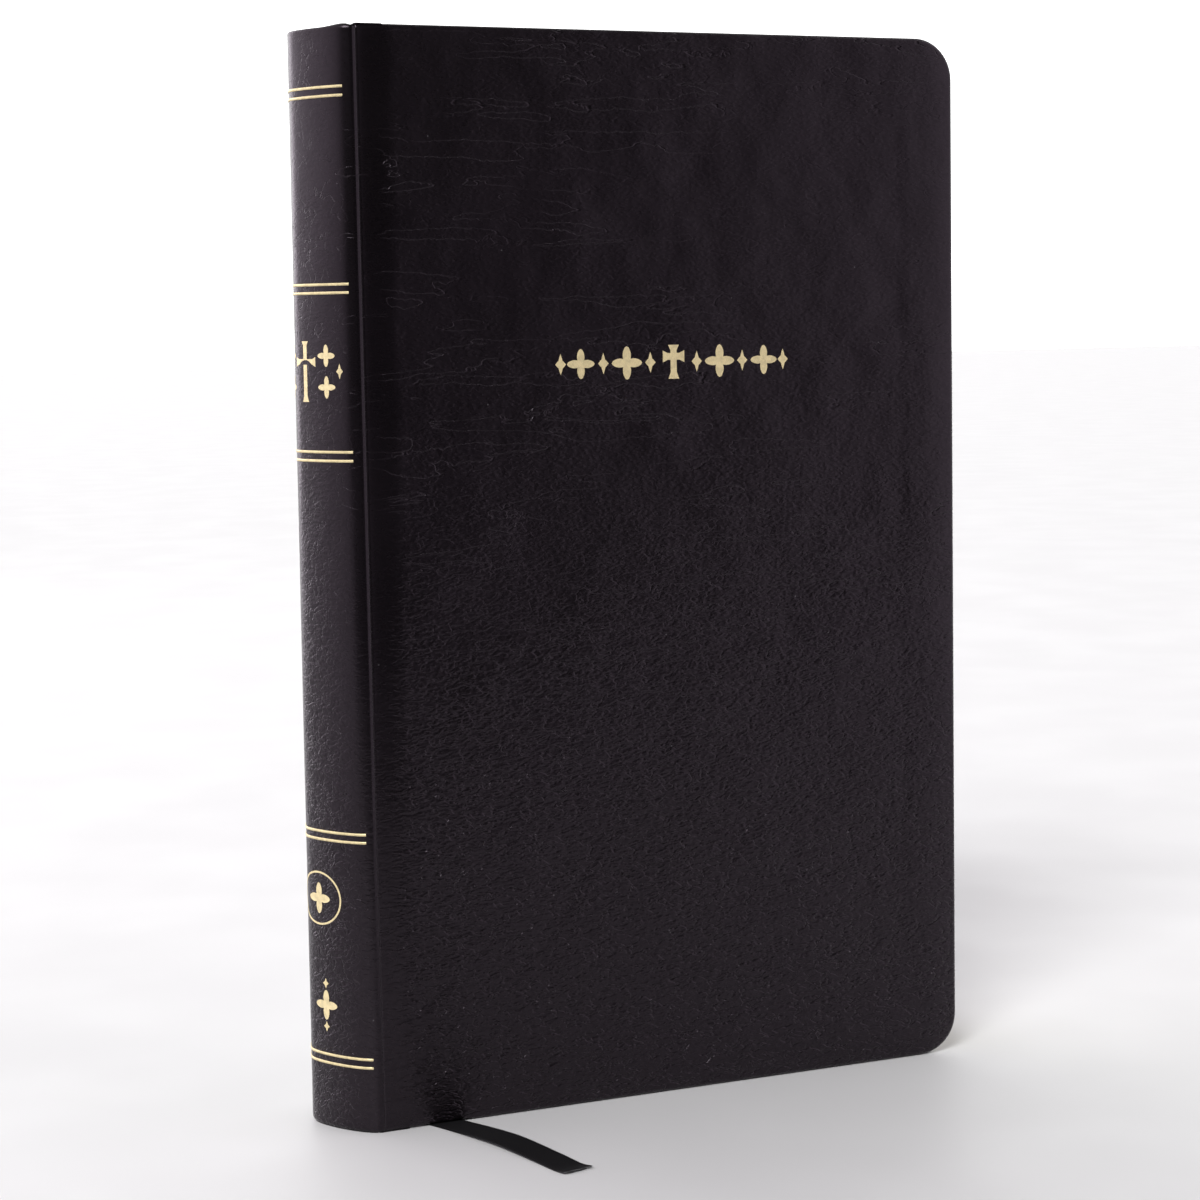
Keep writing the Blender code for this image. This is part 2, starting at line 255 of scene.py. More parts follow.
def leather_finish(colours):
    """Black bonded leather: pebble grain, drawn-out wrinkles, fine scuffs and a few pale specks."""
    f = Finish("black_bonded_leather", colours.leather, 0.32, **{
        "Specular IOR Level": 0.27, "Specular Tint": (1.0, 0.80, 0.99, 1.0),
        "Coat Weight": 0.1, "Coat Roughness": 0.16})
    spot = f.place()
    x, z, _ = f.split(f.place(source="UV"))
    warp = f.node("ShaderNodeTexNoise", {"Vector": spot, "Scale": 0.35, "Detail": 2.0})
    shifted = f.node("ShaderNodeVectorMath", {0: spot, 1: warp.outputs["Color"]}, operation="ADD")
    warped = shifted.outputs["Vector"]

    def cells(scale, stretch):
        place = f.node("ShaderNodeMapping", {"Vector": warped, "Scale": stretch})
        found = f.node("ShaderNodeTexVoronoi", {"Vector": place.outputs["Vector"], "Scale": scale},
                       feature="SMOOTH_F1")
        return found.outputs["Distance"]

    def lines(turn, stretch, scale, width, centre=0.5):
        place = f.node("ShaderNodeMapping", {"Vector": warped, "Rotation": (0, turn, 0),
                                             "Scale": stretch})
        field = f.noise(place.outputs["Vector"], scale, 2.0, 0.5, 0.4)
        away = f.math("ABSOLUTE", f.math("SUBTRACT", field, centre))
        return f.spread(away, 0.0, width)

    pebble = cells(1.5, (0.62, 0.9, 1.3))
    seed_grain = cells(2.8, (0.8, 1.0, 1.2))
    drawn = f.node("ShaderNodeMapping", {"Vector": warped, "Scale": (0.5, 0.9, 1.15)})
    tumble = f.noise(drawn.outputs["Vector"], 0.95, 2.0, 0.55)
    height = f.math("SUBTRACT", f.math("MULTIPLY", tumble, 0.75), f.math("MULTIPLY", pebble, 0.6))
    height = f.math("SUBTRACT", height, f.math("MULTIPLY", seed_grain, 0.12))
    patch = f.spread(f.noise(spot, 0.022, 2.0), 0.45, 0.6)
    low = f.spread(z, 150.0, 40.0)
    from_joint = f.math("ABSOLUTE", f.math("SUBTRACT", x, SHOULDER + 1.0))
    pressed = f.spread(from_joint, 2.5, 8.0, 0.2, 1.0)
    wrinkles = lines(0.08, (0.20, 0.4, 0.55), 1.1, 0.06)
    folds = lines(0.9, (0.045, 0.4, 0.30), 0.8, 0.012, 0.56)
    height = f.math("MULTIPLY", height, f.spread(z, 190.0, 60.0, 0.4, 1.5))
    normal = f.bump(f.math("MULTIPLY", height, pressed), 0.11, 1.0)
    strength = f.math("MULTIPLY", f.math("ADD", low, f.math("MULTIPLY", patch, 0.15)), pressed)
    normal = f.bump(f.math("MULTIPLY", wrinkles, strength), 0.09, 1.0, normal)
    folded = f.math("MULTIPLY", f.math("ADD", patch, 0.25), pressed)
    normal = f.bump(f.math("MULTIPLY", folds, folded), 0.06, 1.0, normal)
    normal = f.bump(f.math("MULTIPLY", f.noise(spot, 0.09, 1.0), pressed), 0.2, 1.0, normal)
    worn = f.noise(spot, 0.05, 2.0)
    rough = f.math("ADD", f.math("MULTIPLY", worn, 0.14), f.math("MULTIPLY", pebble, 0.12))
    rough = f.math("ADD", rough, 0.17)
    tint = f.blend_colour(f.noise(spot, 0.012, 2.0), colours.leather, colours.leather_tint)
    # painted shade: the base colour darkens in the pits between the grain's pebbles
    pit_shade = f.blend_colour(f.spread(pebble, 0.35, 0.75, 0.0, 0.7), tint, (0.0012, 0.001, 0.0012))
    dust = f.node("ShaderNodeTexVoronoi", {"Vector": spot, "Scale": 0.13}).outputs["Distance"]
    speck = f.math("LESS_THAN", dust, 0.02)
    colour = f.blend_colour(f.math("MULTIPLY", speck, 0.6), pit_shade, (0.12, 0.115, 0.12))
    f.set(f.shader, {"Base Color": colour, "Roughness": rough, "Normal": normal,
                     "Coat Normal": normal})
    return f.mat


def foil_finish(colours):
    f = Finish("gold_foil", colours.foil, 0.3, Metallic=0.35)
    spot = f.place()
    cells = f.node("ShaderNodeTexVoronoi", {"Vector": spot, "Scale": 2.2},
                   feature="DISTANCE_TO_EDGE").outputs["Distance"]
    mottle = f.noise(spot, 0.9, 4.0)
    tone = f.blend_colour(f.spread(mottle, 0.35, 0.7), colours.foil,
                          tuple(0.8 * c for c in colours.foil))
    rough = f.math("ADD", f.math("MULTIPLY", mottle, 0.25), 0.28)
    normal = f.bump(f.spread(cells, 0.0, 0.25), 0.03, 0.5)
    f.set(f.shader, {"Base Color": tone, "Roughness": rough, "Normal": normal})
    return f.mat


def paper_finish(colours):
    """Thin cream paper; two columns of short grey strokes give it its printed tone."""
    f = Finish("page_paper", colours.paper, 0.72, **{"Specular IOR Level": 0.3})
    spot = f.place()
    x, z, _ = f.split(f.place(source="UV"))
    across = f.math("PINGPONG", f.math("SUBTRACT", x, (PAGE_FORE + SHOULDER) / 2), 64.0)
    column = f.math("MULTIPLY", f.spread(across, 2.2, 2.8),
                    f.spread(across, COLUMN_HALF, COLUMN_HALF - 0.8))
    within = f.math("MULTIPLY", f.spread(z, PAGE_LOW + 12, PAGE_LOW + 12.6),
                    f.spread(z, PAGE_HIGH - 15, PAGE_HIGH - 15.6))
    row = f.math("FRACT", f.math("DIVIDE", z, LINE_PITCH))
    body = f.math("MULTIPLY", f.spread(row, 0.30, 0.36), f.spread(row, 0.74, 0.68))
    step = f.math("FLOOR", f.math("DIVIDE", z, LINE_PITCH))
    strokes = f.node("ShaderNodeCombineXYZ", {"X": x, "Y": f.math("MULTIPLY", step, 7.3)})
    words = f.spread(f.noise(strokes.outputs["Vector"], 0.62, 1.0), 0.43, 0.47)
    texture = f.spread(f.noise(strokes.outputs["Vector"], 2.6, 1.0), 0.35, 0.62, 0.45, 1.0)
    ink = f.math("MULTIPLY", f.math("MULTIPLY", column, within),
                 f.math("MULTIPLY", body, f.math("MULTIPLY", words, texture)))
    fibre = f.noise(spot, 1.6, 5.0)
    cream = f.blend_colour(fibre, colours.paper, tuple(0.93 * c for c in colours.paper))
    tone = f.blend_colour(f.math("MULTIPLY", ink, 0.62), cream, (0.10, 0.095, 0.09))
    f.set(f.shader, {"Base Color": tone, "Roughness": f.math("ADD", f.math("MULTIPLY", fibre, 0.1),
                                                               0.68),
                     "Normal": f.bump(f.noise(spot, 0.09, 2.0), 0.25, 0.5)})
    return f.mat


def plain_paper_finish(name, colour, weave=0.0):
    """Endpaper, card or gauze: fibres, slight clouding and, if asked, an open weave."""
    f = Finish(name, colour, 0.8, **{"Specular IOR Level": 0.25})
    spot = f.place()
    fibre = f.noise(spot, 1.8, 6.0, 0.65)
    cloud = f.noise(spot, 0.06, 2.0)
    tone = f.blend_colour(f.math("ADD", f.math("MULTIPLY", fibre, 0.6),
                                 f.math("MULTIPLY", cloud, 0.4)),
                          tuple(0.86 * c for c in colour), colour)
    height = fibre
    if weave:
        _, y, z = f.split(spot)
        threads = f.math("MULTIPLY",
                         f.math("PINGPONG", f.math("MULTIPLY", y, weave), 1.0),
                         f.math("PINGPONG", f.math("MULTIPLY", z, weave), 1.0))
        height = f.math("ADD", threads, f.math("MULTIPLY", fibre, 0.3))
        tone = f.blend_colour(threads, tuple(0.6 * c for c in colour), tone)
    f.set(f.shader, {"Base Color": tone, "Normal": f.bump(height, 0.06, 0.6),
                     "Roughness": f.math("ADD", f.math("MULTIPLY", fibre, 0.12), 0.72)})
    return f.mat


def gilt_finish(colours):
    """Gilded leaf edges: gold over hundreds of fine leaf lines, a little worn."""
    f = Finish("gilded_leaf_edges", colours.foil, 0.32, Metallic=0.9)
    spot = f.place()
    leaves = f.node("ShaderNodeMapping", {"Vector": spot, "Scale": (0.02, 9.0, 0.02)})
    lines = f.noise(leaves.outputs["Vector"], 1.0, 4.0, 0.7)
    broad = f.node("ShaderNodeMapping", {"Vector": spot, "Scale": (0.05, 1.6, 0.05)})
    bands = f.noise(broad.outputs["Vector"], 1.0, 2.0)
    worn = f.noise(spot, 0.35, 5.0, 0.7)
    tone = f.blend_colour(f.spread(lines, 0.3, 0.7), tuple(0.45 * c for c in colours.foil),
                          colours.foil)
    tone = f.blend_colour(f.spread(worn, 0.62, 0.74, 0.0, 0.5), tone, (0.50, 0.40, 0.22))
    rough = f.math("ADD", f.math("MULTIPLY", lines, 0.3), 0.22)
    normal = f.bump(lines, 0.06, 0.8)
    normal = f.bump(bands, 0.15, 0.5, normal)
    f.set(f.shader, {"Base Color": tone, "Roughness": rough, "Normal": normal})
    return f.mat


def satin_finish(colours):
    """Black satin: fine twill on the ribbon's own UV map, with a selvedge at each side."""
    f = Finish("black_satin", colours.ribbon, 0.34, **{
        "Specular IOR Level": 0.3, "Sheen Weight": 0.03, "Sheen Roughness": 0.4})
    u, v, _ = f.split(f.place((1, 1, 1), source="UV"))
    warp = f.math("PINGPONG", f.math("MULTIPLY", u, 46.0), 1.0)
    weft = f.math("PINGPONG", f.math("ADD", f.math("MULTIPLY", v, 1900.0),
                                     f.math("MULTIPLY", u, 23.0)), 1.0)
    edge = f.spread(f.math("ABSOLUTE", f.math("SUBTRACT", u, 0.5)), 0.42, 0.46)
    cloth = f.math("ADD", f.math("MULTIPLY", warp, 0.5), f.math("MULTIPLY", weft, 0.5))
    tone = f.blend_colour(cloth, tuple(0.6 * c for c in colours.ribbon),
                          tuple(1.6 * c for c in colours.ribbon))
    height = f.math("ADD", f.math("MULTIPLY", cloth, 0.4), f.math("MULTIPLY", edge, 0.8))
    f.set(f.shader, {"Base Color": tone, "Normal": f.bump(height, 0.05, 0.6),
                     "Roughness": f.math("ADD", f.math("MULTIPLY", warp, 0.14), 0.28)})
    return f.mat


def thread_finish(name, colour):
    f = Finish(name, colour, 0.6, **{"Sheen Weight": 0.2})
    spot = f.place()
    twist = f.node("ShaderNodeTexWave", {"Vector": spot, "Scale": 1.4, "Distortion": 1.5},
                   bands_direction="DIAGONAL").outputs["Fac"]
    tone = f.blend_colour(twist, tuple(0.6 * c for c in colour), colour)
    f.set(f.shader, {"Base Color": tone, "Normal": f.bump(twist, 0.06, 0.7)})
    return f.mat


FINISHES = {}


def make_finishes(colours):
    FINISHES.update({
        "leather": leather_finish(colours),
        "foil": foil_finish(colours),
        "paper": paper_finish(colours),
        "endpaper": plain_paper_finish("cream_endpaper", colours.endpaper),
        "board": plain_paper_finish("grey_board", (0.36, 0.30, 0.22)),
        "card": plain_paper_finish("spine_card", (0.56, 0.50, 0.41)),
        "mull": plain_paper_finish("mull_gauze", (0.72, 0.69, 0.60), weave=1.4),
        "gilt": gilt_finish(colours),
        "satin": satin_finish(colours),
        # painted highlight: the ribbon's cut end and frayed threads take a far lighter grey than
        # the black satin, standing in for the light on the end
        "satin_end_highlight": thread_finish("cut_satin_end", (0.10, 0.10, 0.105)),
        "thread": thread_finish("linen_thread", (0.80, 0.77, 0.68)),
        "silk_black": thread_finish("band_silk_black", (0.02, 0.018, 0.022)),
        "silk_gold": thread_finish("band_silk_gold", (0.62, 0.44, 0.16)),
    })


# ---------------------------------------------------------------- shape of the case

def bulge_at(z, sizes):
    """How far the spine's leather stands out at a height."""
    return SHOULDER - BACKBONE + (sizes.spine_ease + sizes.tail_flare * (1 - z / TALL)) / MM


def groove_depth(x, z, sizes):
    """Depth of the joint's groove: it rolls in over the shoulder and eases out to the board."""
    deep = sizes.groove_depth / MM * (0.35 + 0.65 * ramp(z, 8.0, 70.0))
    lowest = SHOULDER + 1.4
    return deep * ramp(x, SHOULDER - 2.6, lowest) * (1 - ramp(x, lowest, SHOULDER + 8.2))


def spine_row(z, count, sizes):
    """Points and outward normals round the spine at one height, front shoulder to back."""
    bulge, power = bulge_at(z, sizes), sizes.spine_fullness
    phi = np.linspace(-math.pi / 2, math.pi / 2, 1201)
    x = SHOULDER - bulge * np.abs(np.cos(phi)) ** (2 / power)
    y = HALF * np.sign(np.sin(phi)) * np.abs(np.sin(phi)) ** (2 / power)
    run = np.concatenate([[0], np.cumsum(np.hypot(np.diff(x), np.diff(y)))])
    even = np.linspace(0, run[-1], 601)
    reach = 40
    ex, ey = np.interp(even, run, x), np.interp(even, run, y)
    soft = np.hanning(2 * reach + 1)
    soft /= soft.sum()
    wide_x = np.concatenate([2 * ex[0] - ex[reach:0:-1], ex, 2 * ex[-1] - ex[-2:-reach - 2:-1]])
    wide_y = np.concatenate([2 * ey[0] - ey[reach:0:-1], ey, 2 * ey[-1] - ey[-2:-reach - 2:-1]])
    ex, ey = np.convolve(wide_x, soft, "valid"), np.convolve(wide_y, soft, "valid")
    ey = ey - np.sign(ey) * groove_depth(ex, z, sizes)
    at = np.linspace(0, 600, count)
    px, py = np.interp(at, np.arange(601), ex), np.interp(at, np.arange(601), ey)
    tx, ty = np.gradient(px), np.gradient(py)
    size = np.hypot(tx, ty)
    return px, py, -ty / size, tx / size


def relief(x, z):
    """Slow unevenness of the leather, in millimetres outwards."""
    at = Vector((x * 0.055, 3.1, z * 0.055))
    close = Vector((x * 0.24, 7.7, z * 0.24))
    return 0.09 * noise.noise(at) + 0.028 * noise.noise(close)


def crease_marks(x, z, marks):
    """Depth of the pressed wrinkles, each a line with a soft section."""
    total = 0.0
    for x0, z0, x1, z1, deep, wide in marks:
        ax, az = x1 - x0, z1 - z0
        t = min(1.0, max(0.0, ((x - x0) * ax + (z - z0) * az) / (ax * ax + az * az)))
        away = math.hypot(x - x0 - t * ax, z - z0 - t * az) / wide
        if away < 3:
            fade = 0.35 + 0.65 * math.sin(math.pi * (0.1 + 0.8 * t))
            total += deep * math.exp(-away * away) * fade
    return total


FRONT_MARKS = (
    (-60.0, 22.0, -50.0, 31.0, 0.22, 1.1), (-58.5, 26.0, -52.0, 26.5, 0.15, 0.9),
    (-30.0, 34.0, -12.0, 62.0, 0.07, 0.7), (-24.0, 36.0, -10.0, 50.0, 0.06, 0.6),
    (-36.0, 44.0, -20.0, 58.0, 0.05, 0.6), (6.0, 17.5, 62.0, 16.0, 0.16, 0.9),
    (20.0, 19.5, 70.0, 21.0, 0.08, 0.7), (12.0, 128.0, 48.0, 170.0, 0.04, 0.7),
    (-6.0, 92.0, 30.0, 98.0, 0.04, 0.6), (36.0, 66.0, 66.0, 74.0, 0.05, 0.8),
)
BACK_MARKS = (
    (-58.0, 196.0, -50.0, 204.0, 0.16, 1.0), (10.0, 40.0, 34.0, 58.0, 0.06, 0.7),
    (30.0, 150.0, 52.0, 140.0, 0.05, 0.7), (-40.0, 80.0, -18.0, 92.0, 0.05, 0.6),
)


def case_rows(step):
    """Heights of the rows, close together round the corners, and each row's far edge."""
    e = EDGE_ROUND
    radius = CORNER - e
    rows = []
    for k in range(13):
        a = k * math.pi / 24
        rows.append((CORNER - radius * math.cos(a), FORE - CORNER + radius * math.sin(a),
                     math.sin(a), -math.cos(a)))
    count = round((TALL - 2 * CORNER) / step)
    for k in range(1, count):
        rows.append((CORNER + (TALL - 2 * CORNER) * k / count, FORE - e, 1.0, 0.0))
    rows += [(TALL - z, far, nx, -nz) for z, far, nx, nz in reversed(rows[:13])]
    return rows


def edge_profile(deep, wide):
    """Section of a turned-in edge: inset from the outline and depth below the face."""
    e, inner = EDGE_ROUND, 0.5
    first = [(e * (1 - math.sin(a)), e * (1 - math.cos(a)))
             for a in np.linspace(0, math.pi / 2, 6)[1:]]
    last = [(inner * (1 - math.cos(a)), deep - inner + inner * math.sin(a))
            for a in np.linspace(0, math.pi / 2, 4)]
    return first + last + [(3.0, deep), (wide, deep)]


def ribbon_arch(x, z, on):
    """Lift of the front cover's bottom edge where the ribbon runs under it."""
    if not on:
        return z
    centre = RIBBON_OUT
    lift = 0.5 * float(1 - ramp(abs(x - centre), 4.6, 6.2))
    return max(z, lift) if z < lift else z


def cover_leather(side, sizes):
    """Leather of one cover: face, joint, rounded edges and turn-ins, as one skin."""
    rows = case_rows(sizes.mesh_step / MM)
    fixed = CORNER_COLUMNS
    cols = list(np.arange(SHOULDER + 0.9, SHOULDER + 8.4, 0.5))
    count = round((fixed - cols[-1]) / (sizes.mesh_step / MM))
    cols += list(np.linspace(cols[-1], fixed, count)[1:])
    tail = np.linspace(fixed, FORE - EDGE_ROUND, 19)[1:]
    marks = FRONT_MARKS if side < 0 else BACK_MARKS
    verts, place = [], {}
    for i, (z, far, _, _) in enumerate(rows):
        drawn_in = (far - fixed) / (FORE - EDGE_ROUND - fixed)
        xs = cols + [fixed + (c - fixed) * drawn_in for c in tail]
        for j, x in enumerate(xs):
            to_edge = min(z, TALL - z, FORE - x)
            if far < FORE - EDGE_ROUND and x > FORE - CORNER:
                zc = CORNER if z < TALL / 2 else TALL - CORNER
                to_edge = min(to_edge, CORNER - math.hypot(x - FORE + CORNER, z - zc))
            soft = 0.5 * max(0.0, 1 - to_edge / 8.0) ** 2 * float(ramp(x, SHOULDER, SHOULDER + 9))
            calm = float(ramp(to_edge, 0.5, 7.0)) * float(ramp(x, SHOULDER + 1.0, SHOULDER + 6.0))
            step = 0.10 * float(ramp(to_edge, *BOARD_STEP))
            step *= float(ramp(x, SHOULDER + 6, SHOULDER + 9))
            depth = float(groove_depth(x, z, sizes)) + soft + step * 0.5
            depth -= calm * relief(x, z) - 0.05 * calm
            depth += crease_marks(x, z, marks) * calm
            place[i, j] = len(verts)
            verts.append((x, side * (HALF - depth), z))
    n, m = len(rows), len(cols) + len(tail)
    faces = grid_faces(n, m, flip=side > 0)

    def deep_at(x):
        rise = float(ramp(x, SHOULDER + 6.0, SHOULDER + 8.5))
        return SPINE_DEEP + (CASE_DEEP - SPINE_DEEP) * rise

    loop = [(0, j, 0.0, -1.0) for j in range(m)]
    loop += [(i, m - 1, rows[i][2], rows[i][3]) for i in range(1, n - 1)]
    loop += [(n - 1, j, 0.0, 1.0) for j in range(m - 1, -1, -1)]
    before = [place[i, j] for i, j, _, _ in loop]
    base = [verts[k] for k in before]
    for step_at in range(len(edge_profile(CASE_DEEP, TURN_IN))):
        ring = []
        for (i, j, nx, nz), (x, y, z) in zip(loop, base):
            inset, deep = edge_profile(deep_at(x), TURN_IN)[step_at]
            face_depth = HALF - abs(y)
            deep = min(deep, deep_at(x)) if step_at > 4 else deep + face_depth
            out = EDGE_ROUND - inset
            px, pz = x + nx * out, z + nz * out
            pz = ribbon_arch(px, pz, side < 0)
            ring.append(len(verts))
            verts.append((px, side * (HALF - deep), pz))
        for a, b, c, d in zip(before, before[1:], ring[1:], ring):
            faces.append((a, d, c, b) if side < 0 else (a, b, c, d))
        before = ring
    word = "front" if side < 0 else "back"
    obj = make_object(f"{word}_cover_leather", verts, faces, [FINISHES["leather"]])
    return thicken(face_away(obj, (0, 0, TALL / 2)), 0.5)


def spine_leather(sizes):
    """Leather over the whole spine, from one joint's shoulder to the other's."""
    rows = case_rows(sizes.mesh_step / MM)
    count = 53
    ends = [0.3, 0.6, 0.9]
    verts, normals = [], []
    for z, _, _, _ in rows:
        px, py, nx, ny = spine_row(z, count, sizes)
        line = [(SHOULDER + d, -HALF + float(groove_depth(SHOULDER + d, z, sizes)), 0.0, -1.0)
                for d in reversed(ends)]
        line += [(x, y, a, b) for x, y, a, b in zip(px, py, nx, ny)]
        line += [(SHOULDER + d, HALF - float(groove_depth(SHOULDER + d, z, sizes)), 0.0, 1.0)
                 for d in ends]
        for x, y, a, b in line:
            calm = float(ramp(SHOULDER - x, 0.6, 3.0)) * float(ramp(min(z, TALL - z), 1.0, 8.0))
            lift = calm * (0.05 * noise.noise(Vector((x * 0.1, y * 0.1, z * 0.05)))
                           + 0.02 * noise.noise(Vector((x * 0.3, y * 0.3 + 5, z * 0.2))))
            verts.append((x + a * lift, y + b * lift, z))
            normals.append((a, b))
    m, n = count + 2 * len(ends), len(rows)
    faces = grid_faces(n, m, flip=True)
    for up, i in ((-1.0, 0), (1.0, n - 1)):
        before = [i * m + j for j in range(m)]
        base = [(verts[k], normals[k]) for k in before]
        for step_at, (inset, deep) in enumerate(edge_profile(SPINE_DEEP, TURN_IN)):
            ring = []
            for (x, y, z), (a, b) in base:
                out = EDGE_ROUND - inset
                dip = 0.0
                if up > 0:
                    dip = 0.35 * math.exp(-((x - SHOULDER - 0.2) / 0.9) ** 2)
                    dip += 0.5 * float(ramp(SHOULDER - x, 2.0, 5.5)) * (step_at > 0)
                groove = HALF - abs(y) if x > SHOULDER else 0.0
                used = deep if step_at <= 4 else deep - groove
                ring.append(len(verts))
                out -= dip * min(1.0, step_at / 3)
                verts.append((x - a * used, y - b * used, z + up * out))
            for a, b, c, d in zip(before, before[1:], ring[1:], ring):
                faces.append((a, b, c, d) if up < 0 else (a, d, c, b))
            before = ring
    obj = make_object("spine_leather", verts, faces, [FINISHES["leather"]])
    return thicken(face_away(obj, (FORE, 0, TALL / 2)), 0.6)


def face_away(obj, inside):
    """Gives an open skin one winding, with its faces looking away from a point inside."""
    face_out(obj)
    heart = Vector(inside) * MM
    outward = sum(face.normal.dot(face.center - heart) * face.area for face in obj.data.polygons)
    if outward < 0:
        obj.data.flip_normals()
    return obj


# ---------------------------------------------------------------- gold

def lozenge(cx, cz, w, h, pinch=0.72):
    """Four-pointed star-like lozenge with hollow sides."""
    pts = []
    for k in range(4):
        a0, a1 = k * math.pi / 2, (k + 1) * math.pi / 2
        for t in (0.0, 0.25, 0.5, 0.75):
            a = a0 + (a1 - a0) * t
            r = 1.0 - (1.0 - pinch * 0.707) * math.sin(math.pi * t)
            pts.append((cx + w / 2 * r * math.cos(a), cz + h / 2 * r * math.sin(a)))
    return pts


def leafy(cx, cz, size):
    """Four-lobed leaf shape with a point at the tip of each lobe."""
    pts = []
    for k in range(48):
        a = 2 * math.pi * k / 48
        lobe = abs(math.cos(2 * a))
        r = size / 2 * (0.34 + 0.50 * lobe ** 1.3 + 0.16 * lobe ** 9)
        pts.append((cx + r * math.cos(a), cz + r * math.sin(a)))
    return pts


def cross(cx, cz, high, wide, arm):
    """Latin cross with gently flared ends."""
    top, low, half, t = high / 2, -high / 2, wide / 2, arm / 2
    bar = high * 0.16
    f = t * 1.75
    right = [(f, low), (t, low + arm), (t, bar - t), (half - arm * 0.8, bar - t), (half, bar - f),
             (half, bar + f), (half - arm * 0.8, bar + t), (t, bar + t), (t, top - arm * 0.8),
             (f, top)]
    left = [(-a, b) for a, b in reversed(right)]
    return [(cx + a, cz + b) for a, b in right + left]


def ring_band(cx, cz, wide, high, width, count=48):
    """An oval ring, as quads round its outline."""
    quads = []
    for k in range(count):
        a, b = 2 * math.pi * k / count, 2 * math.pi * (k + 1) / count
        quads.append([(cx + (wide / 2 - w) * math.cos(t), cz + (high / 2 - w) * math.sin(t))
                      for w, t in ((0, a), (0, b), (width, b), (width, a))])
    return quads


def cover_ornament(sizes):
    """Gold band on the front cover: a small cross between leaves and lozenges."""
    cx, cz = sizes.ornament_x / MM, sizes.ornament_z / MM
    high = sizes.ornament_height / MM
    wide = sizes.ornament_width / MM
    half = wide / 2
    shapes = [cross(cx, cz, high, high * 0.70, high * 0.20)]
    for s in (-1, 1):
        for reach, size in ((0.40, 0.98), (0.79, 0.88)):
            shapes.append(leafy(cx + s * half * reach, cz, high * size))
        for reach in (0.20, 0.60, 0.96):
            shapes.append(lozenge(cx + s * half * reach, cz, high * 0.34, high * 0.62))
    return shapes


def foil_plates(name, shapes, put):
    """Joins thin foil plates; put turns (across, up) into a point and its outward normal."""
    verts, faces = [], []
    for shape in shapes:
        start = len(verts)
        count = len(shape)
        for lift in (FOIL_ABOVE, FOIL_BELOW):
            for a, b in shape:
                p, normal = put(a, b)
                verts.append(tuple(p + normal * lift))
        top = tuple(start + k for k in range(count))
        under = tuple(start + count + k for k in reversed(range(count)))
        walls = [(start + k, start + count + k, start + count + (k + 1) % count,
                  start + (k + 1) % count) for k in range(count)]
        faces += [top, under] + walls
    obj = make_object(name, verts, faces, [FINISHES["foil"]], smooth=False)
    return face_out(obj)


# ---------------------------------------------------------------- node trees

def new_tree(name, inputs):
    """A geometry node tree with named inputs: its nodes, and the sockets that it is given."""
    tree = bpy.data.node_groups.new(name, "GeometryNodeTree")
    tree.interface.new_socket("Geometry", in_out="INPUT", socket_type="NodeSocketGeometry")
    for label, kind, value in inputs:
        socket = tree.interface.new_socket(label, in_out="INPUT", socket_type="NodeSocket" + kind)
        if value is not None:
            socket.default_value = value
    tree.interface.new_socket("Geometry", in_out="OUTPUT", socket_type="NodeSocketGeometry")
    return Nodes(tree), tree.nodes.new("NodeGroupInput").outputs


def end_tree(n, shape, material):
    """Realizes the tree's shape, paints it and gives it out."""
    real = n.node("GeometryNodeRealizeInstances", {"Geometry": shape})
    painted = n.node("GeometryNodeSetMaterial", {
        "Geometry": real.outputs["Geometry"], "Material": material})
    n.node("NodeGroupOutput", {"Geometry": painted.outputs["Geometry"]})
    return n.tree


def rule_tree():
    """Sweeps a flat bar along every line of the mesh it is given."""
    n, given = new_tree("foil_rules", [
        ("Width", "Float", 0.0006), ("Thickness", "Float", 0.0002), ("Foil", "Material", None)])
    line = n.node("GeometryNodeMeshToCurve", {"Mesh": given["Geometry"]})
    section = n.node("GeometryNodeCurvePrimitiveQuadrilateral", {
        "Width": given["Thickness"], "Height": given["Width"]})
    swept = n.node("GeometryNodeCurveToMesh", {
        "Curve": line.outputs["Curve"], "Profile Curve": section.outputs["Curve"],
        "Fill Caps": True})
    return end_tree(n, swept.outputs["Mesh"], given["Foil"])


def stitch_tree():
    """Wraps rings of silk round a cord, in groups of two colours by phase."""
    n, given = new_tree("band_stitches", [
        ("Spacing", "Float", 0.0003), ("Cord Radius", "Float", 0.00062),
        ("Silk Radius", "Float", 0.00016), ("Group", "Int", 4), ("Phase", "Int", 0),
        ("Silk", "Material", None)])
    line = n.node("GeometryNodeMeshToCurve", {"Mesh": given["Geometry"]})
    even = n.node("GeometryNodeResampleCurve", {
        "Curve": line.outputs["Curve"], "Length": given["Spacing"]}, mode="LENGTH")
    index = n.node("GeometryNodeInputIndex").outputs["Index"]
    group = n.math("FLOOR", n.math("DIVIDE", index, given["Group"]))
    odd = n.math("MODULO", n.math("ADD", group, given["Phase"]), 2.0)
    chosen = n.node("FunctionNodeCompare", {0: odd, 1: 0.5}, data_type="FLOAT",
                    operation="LESS_THAN")
    path, silk = (n.node("GeometryNodeCurvePrimitiveCircle", {
        "Resolution": sides, "Radius": given[radius]})
        for sides, radius in ((12, "Cord Radius"), (6, "Silk Radius")))
    ring = n.node("GeometryNodeCurveToMesh", {
        "Curve": path.outputs["Curve"], "Profile Curve": silk.outputs["Curve"]})
    tangent = n.node("GeometryNodeInputTangent")
    turned = n.node("FunctionNodeAlignRotationToVector", {"Vector": tangent.outputs["Tangent"]},
                    axis="Z")
    placed = n.node("GeometryNodeInstanceOnPoints", {
        "Points": even.outputs["Curve"], "Selection": chosen.outputs["Result"],
        "Instance": ring.outputs["Mesh"], "Rotation": turned.outputs["Rotation"]})
    return end_tree(n, placed.outputs["Instances"], given["Silk"])


